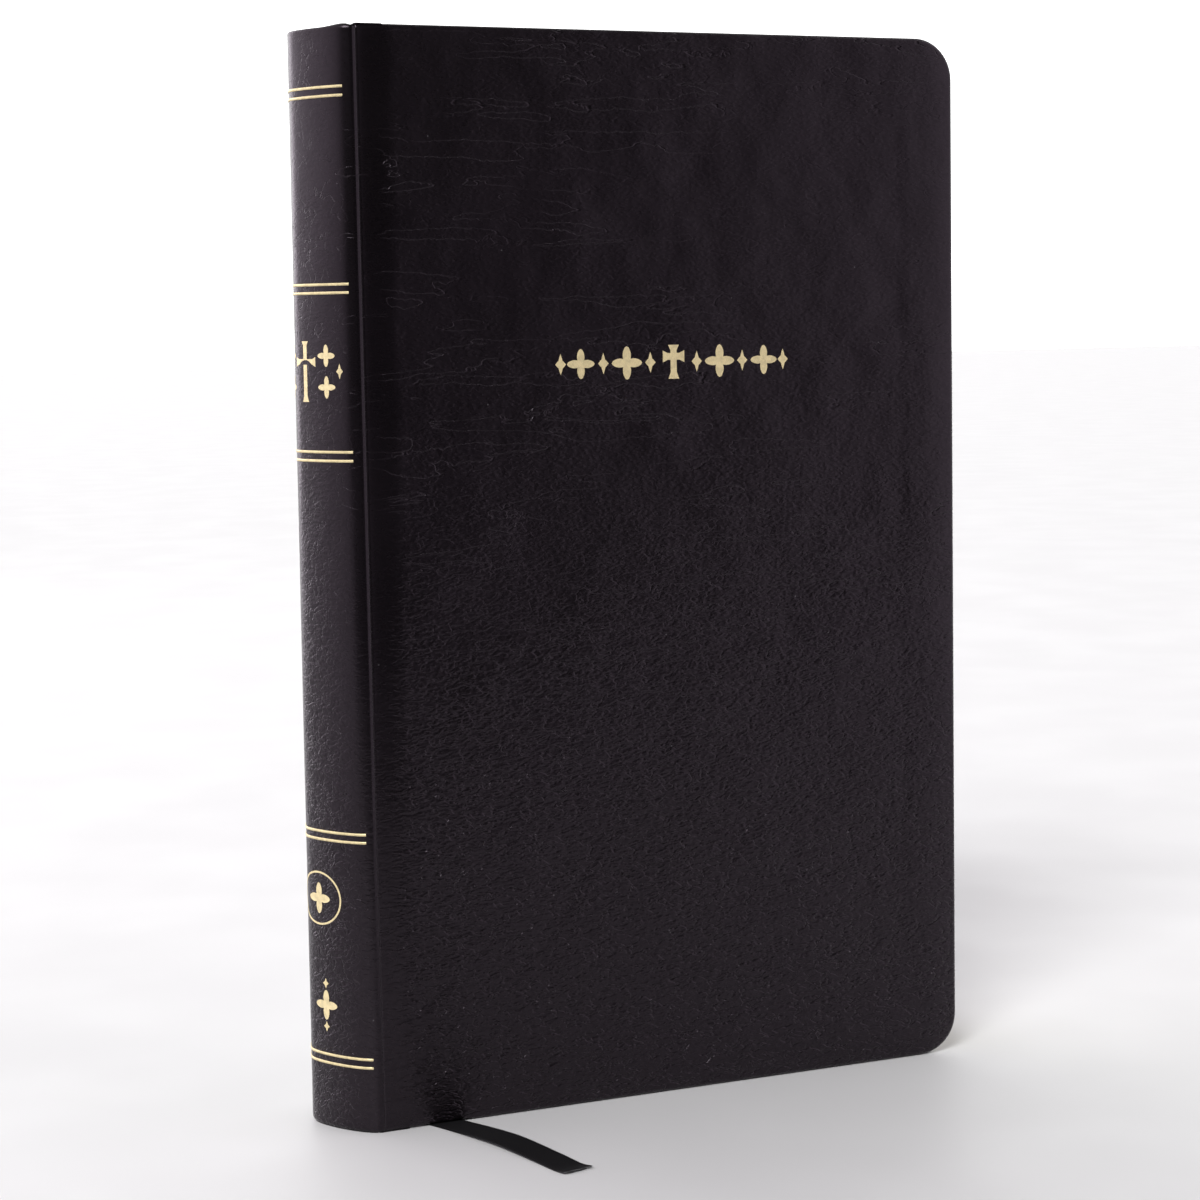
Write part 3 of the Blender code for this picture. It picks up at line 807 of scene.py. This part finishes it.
def run_tree(obj, tree, values):
    """Runs a node tree on the object with the named inputs and keeps the plain mesh."""
    mod = obj.modifiers.new(tree.name, "NODES")
    mod.node_group = tree
    names = {s.name: s.identifier for s in tree.interface.items_tree
             if s.item_type == "SOCKET" and s.in_out == "INPUT"}
    for key, value in values.items():
        mod[names[key]] = value
    return settle(obj)


def line_mesh(name, lines):
    """Edges only, along each list of points in millimetres."""
    mesh = bpy.data.meshes.new(name)
    verts, edges = [], []
    for line in lines:
        start = len(verts)
        verts += [Vector(p) * MM for p in line]
        edges += [(start + k, start + k + 1) for k in range(len(line) - 1)]
    mesh.from_pydata(verts, edges, [])
    obj = bpy.data.objects.new(name, mesh)
    bpy.context.scene.collection.objects.link(obj)
    return obj


# ---------------------------------------------------------------- pages

def block_arc(y):
    """How far the block's back has come forward from its middle, at a distance from it."""
    radius = SPINE_RADIUS - SPINE_LAYERS
    return radius - math.sqrt(radius ** 2 - y ** 2)


def page_outline(x0, x1, z0, z1, radius, inset=0.0, steps=8):
    pts = [(x0 + inset, z0 + inset)]
    r = radius - inset
    for zc, a0 in ((z0 + radius, -math.pi / 2), (z1 - radius, 0.0)):
        for k in range(steps + 1):
            a = a0 + k * math.pi / 2 / steps
            pts.append((x1 - radius + r * math.cos(a), zc + r * math.sin(a)))
    pts.append((x0 + inset, z1 - inset))
    return pts


def signature_mesh(node, sizes):
    """One signature with its leaves' edges as fine steps, gilded; its two faces are paper."""
    lo, hi = corner(node, 0), corner(node, 1)
    rng = random.Random(node)
    spine_x = corner("signature_12", 0)[0]
    long = page_width()
    y0, y1 = lo[1], hi[1]
    groups = sizes.leaf_steps
    layers = []
    for g in range(groups):
        a = y0 + (y1 - y0) * g / groups
        b = y0 + (y1 - y0) * (g + 1) / groups
        out = rng.uniform(0.0, 0.035)
        rim = 0.22 * (b - a)
        layers += [(a, 0.07), (a + rim, out), (b - rim, out)]
    layers.append((y1, 0.07))
    verts, faces, mats = [], [], []
    for y, inset in layers:
        dx = spine_x + block_arc(y)
        outline = page_outline(0, long, PAGE_LOW, PAGE_HIGH, PAGE_CORNER, inset)
        verts += [(x + dx, y, z) for x, z in outline]
    n = len(verts) // len(layers)
    for k in range(len(layers) - 1):
        for j in range(n):
            a, b = k * n + j, k * n + (j + 1) % n
            faces.append((a, b, b + n, a + n))
            mats.append(0)
    faces += [tuple(range(n - 1, -1, -1)), tuple(range(len(verts) - n, len(verts)))]
    mats += [1, 1]
    obj = make_object(f"{node}_leaves", verts, faces, [FINISHES["gilt"], FINISHES["paper"]],
                      smooth=False, face_mats=mats)
    return map_flat(face_out(obj))


def page_width():
    """Width of a page: the middle signature's length less what its curved back adds."""
    lo, hi = corner("signature_12", 0), corner("signature_12", 1)
    return hi[0] - lo[0] - (block_arc(abs(lo[1])) - block_arc(abs(hi[1])))


def bent_sheet(name, sections, z0, z1, radius, thick, mat, fixed):
    """A thin sheet that follows a line of (x, y) stations; its far corners are rounded.

    Stations beyond fixed are drawn in at the corners, on either end of the line."""
    far = max(x for x, _ in sections)
    rows = []
    for k in range(9):
        a = k * math.pi / 16
        rows.append((z0 + radius - radius * math.cos(a), far - radius + radius * math.sin(a)))
    rows += [(z0 + radius + (z1 - z0 - 2 * radius) * k / 6, far) for k in range(1, 6)]
    rows += [(z0 + z1 - z, f) for z, f in reversed(rows[:9])]
    verts = []
    for z, edge in rows:
        for x, y in sections:
            px = x if x <= fixed else fixed + (x - fixed) * (edge - fixed) / (far - fixed)
            verts.append((px, y, z))
    faces = grid_faces(len(rows), len(sections))
    obj = make_object(name, verts, faces, [mat])
    return face_out(thicken(obj, thick, 0.0))


def endpaper(side):
    """Folded endpaper: pasted to the board, over the joint, and free as the flyleaf."""
    word = "front" if side < 0 else "back"
    paste = (corner(f"{word}_pastedown", 0) + corner(f"{word}_pastedown", 1)) / 2
    fly = (corner(f"{word}_flyleaf", 0) + corner(f"{word}_flyleaf", 1)) / 2
    fold_x = corner(f"{word}_flyleaf", 0)[0] + 0.4
    yp, yf = paste[1], fly[1]
    line = [(x, yp) for x in
            (PAGE_FORE, 66.0, 60.0, 40.0, 0.0, -30.0, -55.0, -58.0, -60.0, -62.0)]
    for k in range(25):
        a = math.pi * k / 24
        line.append((fold_x - 0.35 * math.sin(a), yp + (yf - yp) * (1 - math.cos(a)) / 2))
    line += [(x, yf) for x in (-60.0, -55.0, -30.0, 0.0, 40.0, 60.0, 66.0, PAGE_FORE)]
    obj = bent_sheet(f"{word}_endpaper", line, PAGE_LOW, PAGE_HIGH, SHEET_CORNER, 0.1,
                     FINISHES["endpaper"], CORNER_COLUMNS)
    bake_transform(obj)
    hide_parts(f"{word}_pastedown", f"{word}_flyleaf")
    return obj


def single_leaf(node, body):
    lo, hi = corner(node, 0), corner(node, 1)
    y = (lo[1] + hi[1]) / 2
    xs = np.concatenate([np.linspace(lo[0], -30, 36), np.linspace(-30, hi[0], 20)[1:]])
    obj = bent_sheet(f"{node}_sheet", [(x, y) for x in xs], PAGE_LOW, PAGE_HIGH, PAGE_CORNER,
                     0.07, FINISHES["paper"], CORNER_COLUMNS)
    if body == "back_half":
        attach(obj, body)
    else:
        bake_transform(obj)
    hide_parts(node)
    return obj


# ---------------------------------------------------------------- ribbon

def ribbon_stations():
    """Position and width direction of the ribbon's stations, spine to free end."""
    deep, y = 2.12, 4.1
    a = math.asin(y / (SPINE_RADIUS - deep))
    x = BACKBONE + SPINE_RADIUS - (SPINE_RADIUS - deep) * math.cos(a)
    out, face = RIBBON_OUT, -HALF
    along, across = (math.sin(a), math.cos(a), 0), (1, 0, 0)
    return [
        ((x, y, 212.0), along), ((x, y, 223.0), along), ((x + 0.05, y, 225.2), along),
        ((x + 0.5, y, 226.75), along), ((x + 1.7, 4.0, 227.3), (0.1, 0.99, 0)),
        ((x + 3.5, 3.4, 227.35), (0.35, 0.93, 0)), ((x + 5.2, 2.1, 227.2), (0.7, 0.7, 0)),
        ((x + 6.2, 0.9, 226.6), (0.92, 0.36, 0)), ((x + 6.6, 0.2, 225.6), across),
        ((x + 6.7, 0.0, 223.6), across), ((out - 10.2, 0.0, 190.0), across),
        ((out - 8.7, 0.0, 110.0), across), ((out - 7.4, 0.0, 40.0), across),
        ((out - 6.8, 0.0, 6.0), across), ((out - 6.7, 0.0, 3.2), across),
        ((out - 6.65, -0.3, 1.7), across), ((out - 6.6, -1.0, 0.75), (1, 0.05, 0)),
        ((out - 6.45, -1.9, 0.34), (0.985, 0.17, 0)), ((out - 6.1, -3.1, 0.18), (0.95, 0.3, 0)),
        ((out - 5.4, -4.7, 0.13), (0.91, 0.41, 0)),
        ((out - 3.3, face + 6.3, 0.13), (0.9, 0.43, 0)),
        ((out, face - 0.7, 0.13), (0.94, 0.34, 0)),
        ((out + 5.2, face - 17.5, 0.75), (0.965, 0.26, 0.02)),
        ((out + 8.9, face - 33.1, 0.30), (0.97, 0.24, 0.01)),
        ((out + 10.1, face - 39.0, 0.14), (0.97, 0.24, 0)),
        ((out + 10.9, face - 42.2, 0.45), (0.97, 0.24, 0)),
    ]


def smooth_path(stations, step):
    """Catmull-Rom points through the stations, about a step apart."""
    out = []
    for i in range(len(stations) - 1):
        near = [stations[min(max(i + k, 0), len(stations) - 1)] for k in (-1, 0, 1, 2)]
        p = [Vector(s[0]) for s in near]
        w0, w1 = Vector(near[1][1]), Vector(near[2][1])
        gap = (p[2] - p[1]).length
        before = (p[2] - p[0]) / max((p[2] - p[1]).length + (p[1] - p[0]).length, 1e-9) * gap
        after = (p[3] - p[1]) / max((p[3] - p[2]).length + (p[2] - p[1]).length, 1e-9) * gap
        count = max(2, math.ceil(gap / step))
        for k in range(count):
            t = k / count
            out.append((p[1] * (2 * t ** 3 - 3 * t ** 2 + 1) + before * (t ** 3 - 2 * t ** 2 + t)
                        + p[2] * (3 * t ** 2 - 2 * t ** 3) + after * (t ** 3 - t ** 2),
                        w0.lerp(w1, t)))
    out.append((Vector(stations[-1][0]), Vector(stations[-1][1])))
    return out


def ribbon_mesh(sizes):
    """Satin ribbon with slightly thicker selvedges and a cut, fraying end."""
    path = smooth_path(ribbon_stations(), 1.5)
    wide = sizes.ribbon_width / MM
    across = [-1.0, -0.93, -0.86, -0.6, -0.3, 0.0, 0.3, 0.6, 0.86, 0.93, 1.0]
    section = [(s, 0.09 if abs(s) > 0.88 and abs(s) < 1 else 0.07) for s in across]
    ring = [(s, t) for s, t in section] + [(s, -t) for s, t in reversed(section)]
    rng = random.Random(4)
    verts, faces = [], []
    run = 0.0
    uvs = []
    centres = []
    for i, (pos, w) in enumerate(path):
        ahead = path[min(i + 1, len(path) - 1)][0] - path[max(i - 1, 0)][0]
        w = (w - ahead * w.dot(ahead) / ahead.length_squared).normalized()
        up = ahead.cross(w).normalized()
        if i:
            run += (pos - path[i - 1][0]).length
        centres.append(pos * MM)
        for s, t in ring:
            shift = Vector((0, 0, 0))
            if i == len(path) - 1:
                shift = ahead.normalized() * (0.25 * math.sin(9 * s) + rng.uniform(-0.2, 0.2))
            at = pos + w * s * wide / 2 + up * t + shift
            verts.append(Vector((at.x, at.y, max(at.z, 0.02))))
            uvs.append((0.5 + s / 2, run / 1000))
    n = len(ring)
    for i in range(len(path) - 1):
        for j in range(n):
            a, b = i * n + j, i * n + (j + 1) % n
            faces.append((a, b, b + n, a + n))
    last = verts[-n:]
    faces.append(tuple(range(n - 1, -1, -1)))
    satin = len(faces)
    cap = len(verts)
    verts += last
    uvs += uvs[-n:]
    faces.append(tuple(range(cap, cap + n)))
    pos, w = path[-1]
    ahead = (path[-1][0] - path[-2][0]).normalized()
    for k in range(26):
        s = -0.96 + 1.92 * k / 25
        root = pos + w.normalized() * s * wide / 2 - ahead * 0.2
        tip = root + ahead * rng.uniform(0.5, 1.2) + w * rng.uniform(-0.25, 0.25)
        tip.z = max(tip.z + rng.uniform(-0.1, 0.25), 0.09)
        start = len(verts)
        for q, r in ((root, 0.045), (tip, 0.02)):
            for a in (0, 2.1, 4.2):
                verts.append(q + w.normalized() * r * math.cos(a) + Vector((0, 0, r * math.sin(a))))
                uvs.append((0.5, run / 1000))
        faces += [tuple(start + k for k in face) for face in
                  ((0, 1, 4, 3), (1, 2, 5, 4), (2, 0, 3, 5), (2, 1, 0), (3, 4, 5))]
    # the cut end and its fray use the lighter grey of the painted highlight
    obj = make_object("ribbon_marker_satin", verts, faces,
                      [FINISHES["satin"], FINISHES["satin_end_highlight"]],
                      face_mats=[int(k >= satin) for k in range(len(faces))])
    layer = obj.data.uv_layers.new(name="UVMap")
    for loop in obj.data.loops:
        layer.data[loop.index].uv = uvs[loop.vertex_index]
    return face_out(obj), centres, run * MM


# ---------------------------------------------------------------- settings

class BibleSizes(bpy.types.PropertyGroup):
    mesh_step: FloatProperty(name="Leather step", description="Spacing of the leather's mesh",
                             default=0.0013, unit="LENGTH")
    groove_depth: FloatProperty(name="Joint groove",
                                description="Depth of the groove at each joint",
                                default=0.0006, unit="LENGTH")
    tail_flare: FloatProperty(name="Tail flare",
                              description="How much fuller the spine is at the tail",
                              default=0.0013, unit="LENGTH")
    spine_ease: FloatProperty(name="Spine ease",
                              description="Leather's stand-off from the spine's card",
                              default=0.0015, unit="LENGTH")
    spine_fullness: FloatProperty(name="Spine fullness",
                                  description="2 is round, less is more arched",
                                  default=1.4, min=1.1, max=3.0)
    ornament_x: FloatProperty(name="Ornament across",
                              description="Cover ornament's centre along X",
                              default=0.0039, unit="LENGTH")
    ornament_z: FloatProperty(name="Ornament height",
                              description="Cover ornament's centre above the tail",
                              default=0.1587, unit="LENGTH")
    ornament_height: FloatProperty(name="Ornament tall",
                                   description="Height of the cover's cross",
                                   default=0.0072, unit="LENGTH")
    ornament_width: FloatProperty(name="Ornament wide",
                                  description="Full width of the cover's ornament",
                                  default=0.0545, unit="LENGTH")
    stamp_shift: FloatProperty(name="Stamp shift",
                               description="Spine ornaments' offset to the front",
                               default=0.0036, unit="LENGTH")
    rule_width: FloatProperty(name="Rule width", description="Width of a gold rule",
                              default=0.00055, unit="LENGTH")
    ribbon_width: FloatProperty(name="Ribbon width", description="Width of the satin ribbon",
                                default=0.007, unit="LENGTH")
    ribbon_length: FloatProperty(name="Ribbon length", description="Length of the satin ribbon",
                                 default=0.308, unit="LENGTH")
    leaf_steps: IntProperty(name="Leaf steps", description="Fine steps on each signature's edge",
                            default=6, min=1)


class BibleColours(bpy.types.PropertyGroup):
    leather: FloatVectorProperty(name="Leather",
                                 description="Leather in shadow", subtype="COLOR",
                                 size=3, default=(0.0034, 0.0030, 0.0029))
    leather_tint: FloatVectorProperty(name="Leather tint", description="Leather's violet cast",
                                      subtype="COLOR", size=3, default=(0.0050, 0.0036, 0.0050))
    foil: FloatVectorProperty(name="Gold", description="Foil and gilded edges", subtype="COLOR",
                              size=3, default=(0.84, 0.71, 0.40))
    paper: FloatVectorProperty(name="Pages", description="Page paper", subtype="COLOR",
                               size=3, default=(0.84, 0.80, 0.70))
    endpaper: FloatVectorProperty(name="Endpaper", description="Endpapers", subtype="COLOR",
                                  size=3, default=(0.78, 0.75, 0.67))
    ribbon: FloatVectorProperty(name="Ribbon", description="Satin ribbon", subtype="COLOR",
                                size=3, default=(0.004, 0.004, 0.0045))


# ---------------------------------------------------------------- operators

class MakeCovers(bpy.types.Operator):
    """Leather of both covers"""
    bl_idname = "bible.covers"
    bl_label = "Covers"

    def execute(self, context):
        sizes = context.scene.bible_sizes
        for word, side in (("front", -1), ("back", 1)):
            obj = cover_leather(side, sizes)
            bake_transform(obj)
            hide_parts(f"{word}_cover_skin")
        return {"FINISHED"}


class MakeSpine(bpy.types.Operator):
    """Leather of the spine"""
    bl_idname = "bible.spine"
    bl_label = "Spine"

    def execute(self, context):
        obj = spine_leather(context.scene.bible_sizes)
        blend_spine(obj)
        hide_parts("spine_skin_front", "spine_skin_back")
        return {"FINISHED"}


def blend_spine(obj):
    """Bakes the piece's placement into its mesh."""
    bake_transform(obj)


RULE_HEIGHTS = (215.5, 213.7, 176.0, 174.3, 142.0, 140.2, 63.1, 61.4, 15.7, 13.9)


class MakeGold(bpy.types.Operator):
    """Gold rules and ornaments stamped on the spine and front cover"""
    bl_idname = "bible.gold"
    bl_label = "Gold"

    def execute(self, context):
        sizes = context.scene.bible_sizes
        lines = []
        for z in RULE_HEIGHTS:
            px, py, nx, ny = spine_row(z, 121, sizes)
            run = np.concatenate([[0], np.cumsum(np.hypot(np.diff(px), np.diff(py)))])
            short = 2.0 - 0.9 * (1 - z / TALL)
            keep = (run > short) & (run < run[-1] - short)
            lines.append([(x, y, z) for x, y in zip(px[keep] + nx[keep] * 0.02,
                                                    py[keep] + ny[keep] * 0.02)])
        rules = line_mesh("spine_rules", lines)
        run_tree(rules, rule_tree(), {"Width": sizes.rule_width, "Thickness": 0.0002,
                                      "Foil": FINISHES["foil"]})
        face_out(rules)
        blend_spine(rules)

        def on_spine(a, b):
            px, py, nx, ny = spine_row(b, 241, sizes)
            run = np.concatenate([[0], np.cumsum(np.hypot(np.diff(px), np.diff(py)))])
            at = run[-1] / 2 - sizes.stamp_shift / MM + a
            return (Vector((np.interp(at, run, px), np.interp(at, run, py), b)),
                    Vector((np.interp(at, run, nx), np.interp(at, run, ny), 0)))

        shapes = [cross(0, 158.4, 12.4, 6.4, 1.15)]
        for s in (-1, 1):
            shapes += [leafy(s * 6.2, 161.6, 4.6), leafy(s * 6.2, 155.2, 4.6),
                       lozenge(s * 9.6, 158.4, 1.6, 3.2)]
        shapes += ring_band(-0.4, 48.8, 12.8, 11.4, 0.42) + [leafy(-0.4, 48.8, 6.6)]
        shapes += [leafy(-1.9, 26.2, 6.4), lozenge(-1.9, 21.6, 1.7, 2.2),
                   lozenge(-1.9, 30.8, 1.7, 2.2)]
        spine_gold = foil_plates("spine_ornaments", shapes, on_spine)
        blend_spine(spine_gold)

        def on_cover(a, b):
            return Vector((a, -HALF + 0.05 - relief(a, b) + 0.05, b)), Vector((0, -1, 0))

        cover_gold = foil_plates("cover_ornament", cover_ornament(sizes), on_cover)
        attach(cover_gold, "front_cover")
        return {"FINISHED"}


class MakePages(bpy.types.Operator):
    """Signatures, endpapers and the single leaves at the ribbon"""
    bl_idname = "bible.pages"
    bl_label = "Pages"

    def execute(self, context):
        sizes = context.scene.bible_sizes
        for k in range(1, 2 * HALF_SIGNATURES + 1):
            node = f"signature_{k:02d}"
            side = -1 if k <= HALF_SIGNATURES else 1
            obj = signature_mesh(node, sizes)
            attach(obj, "front_half" if side < 0 else "back_half")
            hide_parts(node)
        for side in (-1, 1):
            endpaper(side)
        for node, body in (("turned_leaf_a", "leaf_a"), ("turned_leaf_b", "leaf_b"),
                           ("right_leaf", "back_half")):
            single_leaf(node, body)
        return {"FINISHED"}


class MakeBands(bpy.types.Operator):
    """Striped silk bands at the head and tail, one for each half"""
    bl_idname = "bible.bands"
    bl_label = "Bands"

    def execute(self, context):
        tree = stitch_tree()
        for word, side in (("front", -1), ("back", 1)):
            for place in ("head", "tail"):
                node = f"{place}_band_{word}"
                lo, hi = corner(node, 0), corner(node, 1)
                z = (lo[2] + hi[2]) / 2
                ys = np.linspace(0.55, max(abs(lo[1]), abs(hi[1])) - 0.75, 60)
                line = [(lo[0] + 0.85 + block_arc(y), side * y, z) for y in ys]
                core = line_mesh(f"{node}_core", [line])
                skin = run_tree(core, rule_tree(), {"Width": 0.0010, "Thickness": 0.0010,
                                                    "Foil": FINISHES["silk_black"]})
                face_out(skin)
                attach(skin, f"{word}_half")
                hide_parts(node)
                for phase, silk in ((0, "silk_black"), (1, "silk_gold")):
                    wraps = line_mesh(f"{node}_{silk}", [line])
                    run_tree(wraps, tree, {"Phase": phase, "Silk": FINISHES[silk]})
                    face_out(wraps)
                    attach(wraps, f"{word}_half")
        return {"FINISHED"}


class MakeRibbon(bpy.types.Operator):
    """Satin ribbon marker, glued at the head and loose past the tail"""
    bl_idname = "bible.ribbon"
    bl_label = "Ribbon"

    def execute(self, context):
        sizes = context.scene.bible_sizes
        obj, centres, run = ribbon_mesh(sizes)
        if abs(run - sizes.ribbon_length) > 0.05 * sizes.ribbon_length:
            raise RuntimeError(f"the ribbon's route is {run:.3f} m long")
        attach(obj, "back_half")
        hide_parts("ribbon_marker")
        return {"FINISHED"}


class FinishInside(bpy.types.Operator):
    """Card, gauze and thread on the pieces that keep the frame's own shape"""
    bl_idname = "bible.inside"
    bl_label = "Inside pieces"

    def execute(self, context):
        kinds = (("board", "board"), ("inlay", "card"), ("lining", "card"), ("mull", "mull"),
                 ("thread", "thread"))
        for name, obj in frame["nodes"].items():
            for word, finish in kinds:
                if word in name and not obj.hide_render:
                    for place in obj.material_slots:
                        place.material = FINISHES[finish]
        return {"FINISHED"}


def studio_world(scene):
    """White behind the book, dim in front, with a soft card at the front right."""
    world = bpy.data.worlds.new("studio")
    scene.world = world
    world.use_nodes = True
    n = Nodes(world.node_tree)
    x, y, _ = n.split(n.node("ShaderNodeTexCoord").outputs["Generated"])
    left = n.spread(n.math("SUBTRACT", y, x), 0.12, 1.45, 0.012, 1.9)
    behind = n.math("MAXIMUM", left, n.spread(y, 0.1, 0.95, 0.0, 2.1))
    card = n.spread(x, 0.36, 0.60, 0.0, 1.15)
    seen = n.node("ShaderNodeLightPath").outputs["Is Camera Ray"]
    strength = n.math("MAXIMUM", n.math("MAXIMUM", behind, card), seen)
    side = n.math("MINIMUM", y, n.math("ADD", x, 0.35))
    plain = n.math("MAXIMUM", n.spread(side, -0.2, 0.1), seen)
    n.set(n.tree.nodes["Background"], {
        "Color": n.blend_colour(plain, (1.0, 0.92, 1.0), (1.0, 1.0, 1.0)), "Strength": strength})


def studio_lights(scene):
    """A very soft overhead sun from the front left, and a tall strip behind the spine."""
    sun = bpy.data.lights.new("overhead", "SUN")
    sun.energy = 2.6
    sun.angle = math.radians(24)
    strip = bpy.data.lights.new("spine_strip", "AREA")
    strip.shape = "RECTANGLE"
    strip.size, strip.size_y = 0.5, 1.1
    strip.energy = 4.0
    strip.color = (1.0, 0.92, 1.0)
    for data, at in ((sun, (-0.55, -0.55, 0.75)), (strip, (-0.66, 1.13, 0.3))):
        lamp = bpy.data.objects.new(data.name, data)
        lamp.location = at
        aim = Vector((-0.04, 0.0, 0.11))
        lamp.rotation_euler = (aim - Vector(at)).to_track_quat("-Z", "Y").to_euler()
        scene.collection.objects.link(lamp)


class MakeStage(bpy.types.Operator):
    """Pale floor, soft studio light and the camera"""
    bl_idname = "bible.stage"
    bl_label = "Stage"

    def execute(self, context):
        scene = context.scene
        floor_mat = Finish("pale_floor", (0.66, 0.66, 0.66), 0.5)
        spot = floor_mat.place()
        floor_mat.set(floor_mat.shader, {"Roughness": floor_mat.spread(
            floor_mat.noise(spot, 0.02, 2.0), 0.3, 0.7, 0.5, 0.6)})
        near, far = -330.0, 9000.0
        floor = make_object("floor", [(-far, near, 0), (far, near, 0), (far, far, 0),
                                      (-far, far, 0)], [(0, 1, 2, 3)], [floor_mat.mat])
        studio_world(scene)
        studio_lights(scene)

        turn, rise, roll = (math.radians(a) for a in (-23.86, 5.91, -1.03))
        away = Vector((math.sin(turn) * math.cos(rise), -math.cos(turn) * math.cos(rise),
                       math.sin(rise)))
        right = Vector((math.cos(turn), math.sin(turn), 0))
        up = away.cross(right)
        side = math.cos(roll) * right + math.sin(roll) * up
        top = -math.sin(roll) * right + math.cos(roll) * up
        target = Vector((SHOULDER + 52.0, -HALF, 108.8)) * MM
        camera_data = bpy.data.cameras.new("camera")
        camera_data.sensor_width = 36.0
        camera_data.lens = 82.5
        camera_data.clip_start = 0.01
        camera = bpy.data.objects.new("camera", camera_data)
        turned = Matrix((side, top, away)).transposed().to_4x4()
        camera.matrix_world = Matrix.Translation(target + away * 0.5828) @ turned
        scene.collection.objects.link(camera)
        scene.camera = camera
        scene.view_settings.view_transform = "Standard"
        return {"FINISHED"}


class BiblePanel(bpy.types.Panel):
    """Lists the bible's settings and steps"""
    bl_idname = "VIEW3D_PT_bible"
    bl_label = "Reading Bible"
    bl_space_type = "VIEW_3D"
    bl_region_type = "UI"
    bl_category = "Bible"

    def draw(self, context):
        layout = self.layout
        for group in (context.scene.bible_sizes, context.scene.bible_colours):
            box = layout.box()
            for key in group.__annotations__:
                box.prop(group, key)
        for step in STEPS:
            layout.operator(step.bl_idname)


STEPS = (MakeStage, MakeCovers, MakeSpine, MakeGold, MakePages, MakeBands, MakeRibbon,
         FinishInside)
CLASSES = (BibleSizes, BibleColours) + STEPS + (BiblePanel,)


def register():
    for cls in CLASSES:
        bpy.utils.register_class(cls)
    bpy.types.Scene.bible_sizes = PointerProperty(type=BibleSizes)
    bpy.types.Scene.bible_colours = PointerProperty(type=BibleColours)


def unregister():
    del bpy.types.Scene.bible_colours
    del bpy.types.Scene.bible_sizes
    for cls in reversed(CLASSES):
        bpy.utils.unregister_class(cls)


def main():
    register()
    make_finishes(bpy.context.scene.bible_colours)
    for step in STEPS:
        group, _, name = step.bl_idname.partition(".")
        getattr(getattr(bpy.ops, group), name)()


if __name__ == "__main__":
    main()
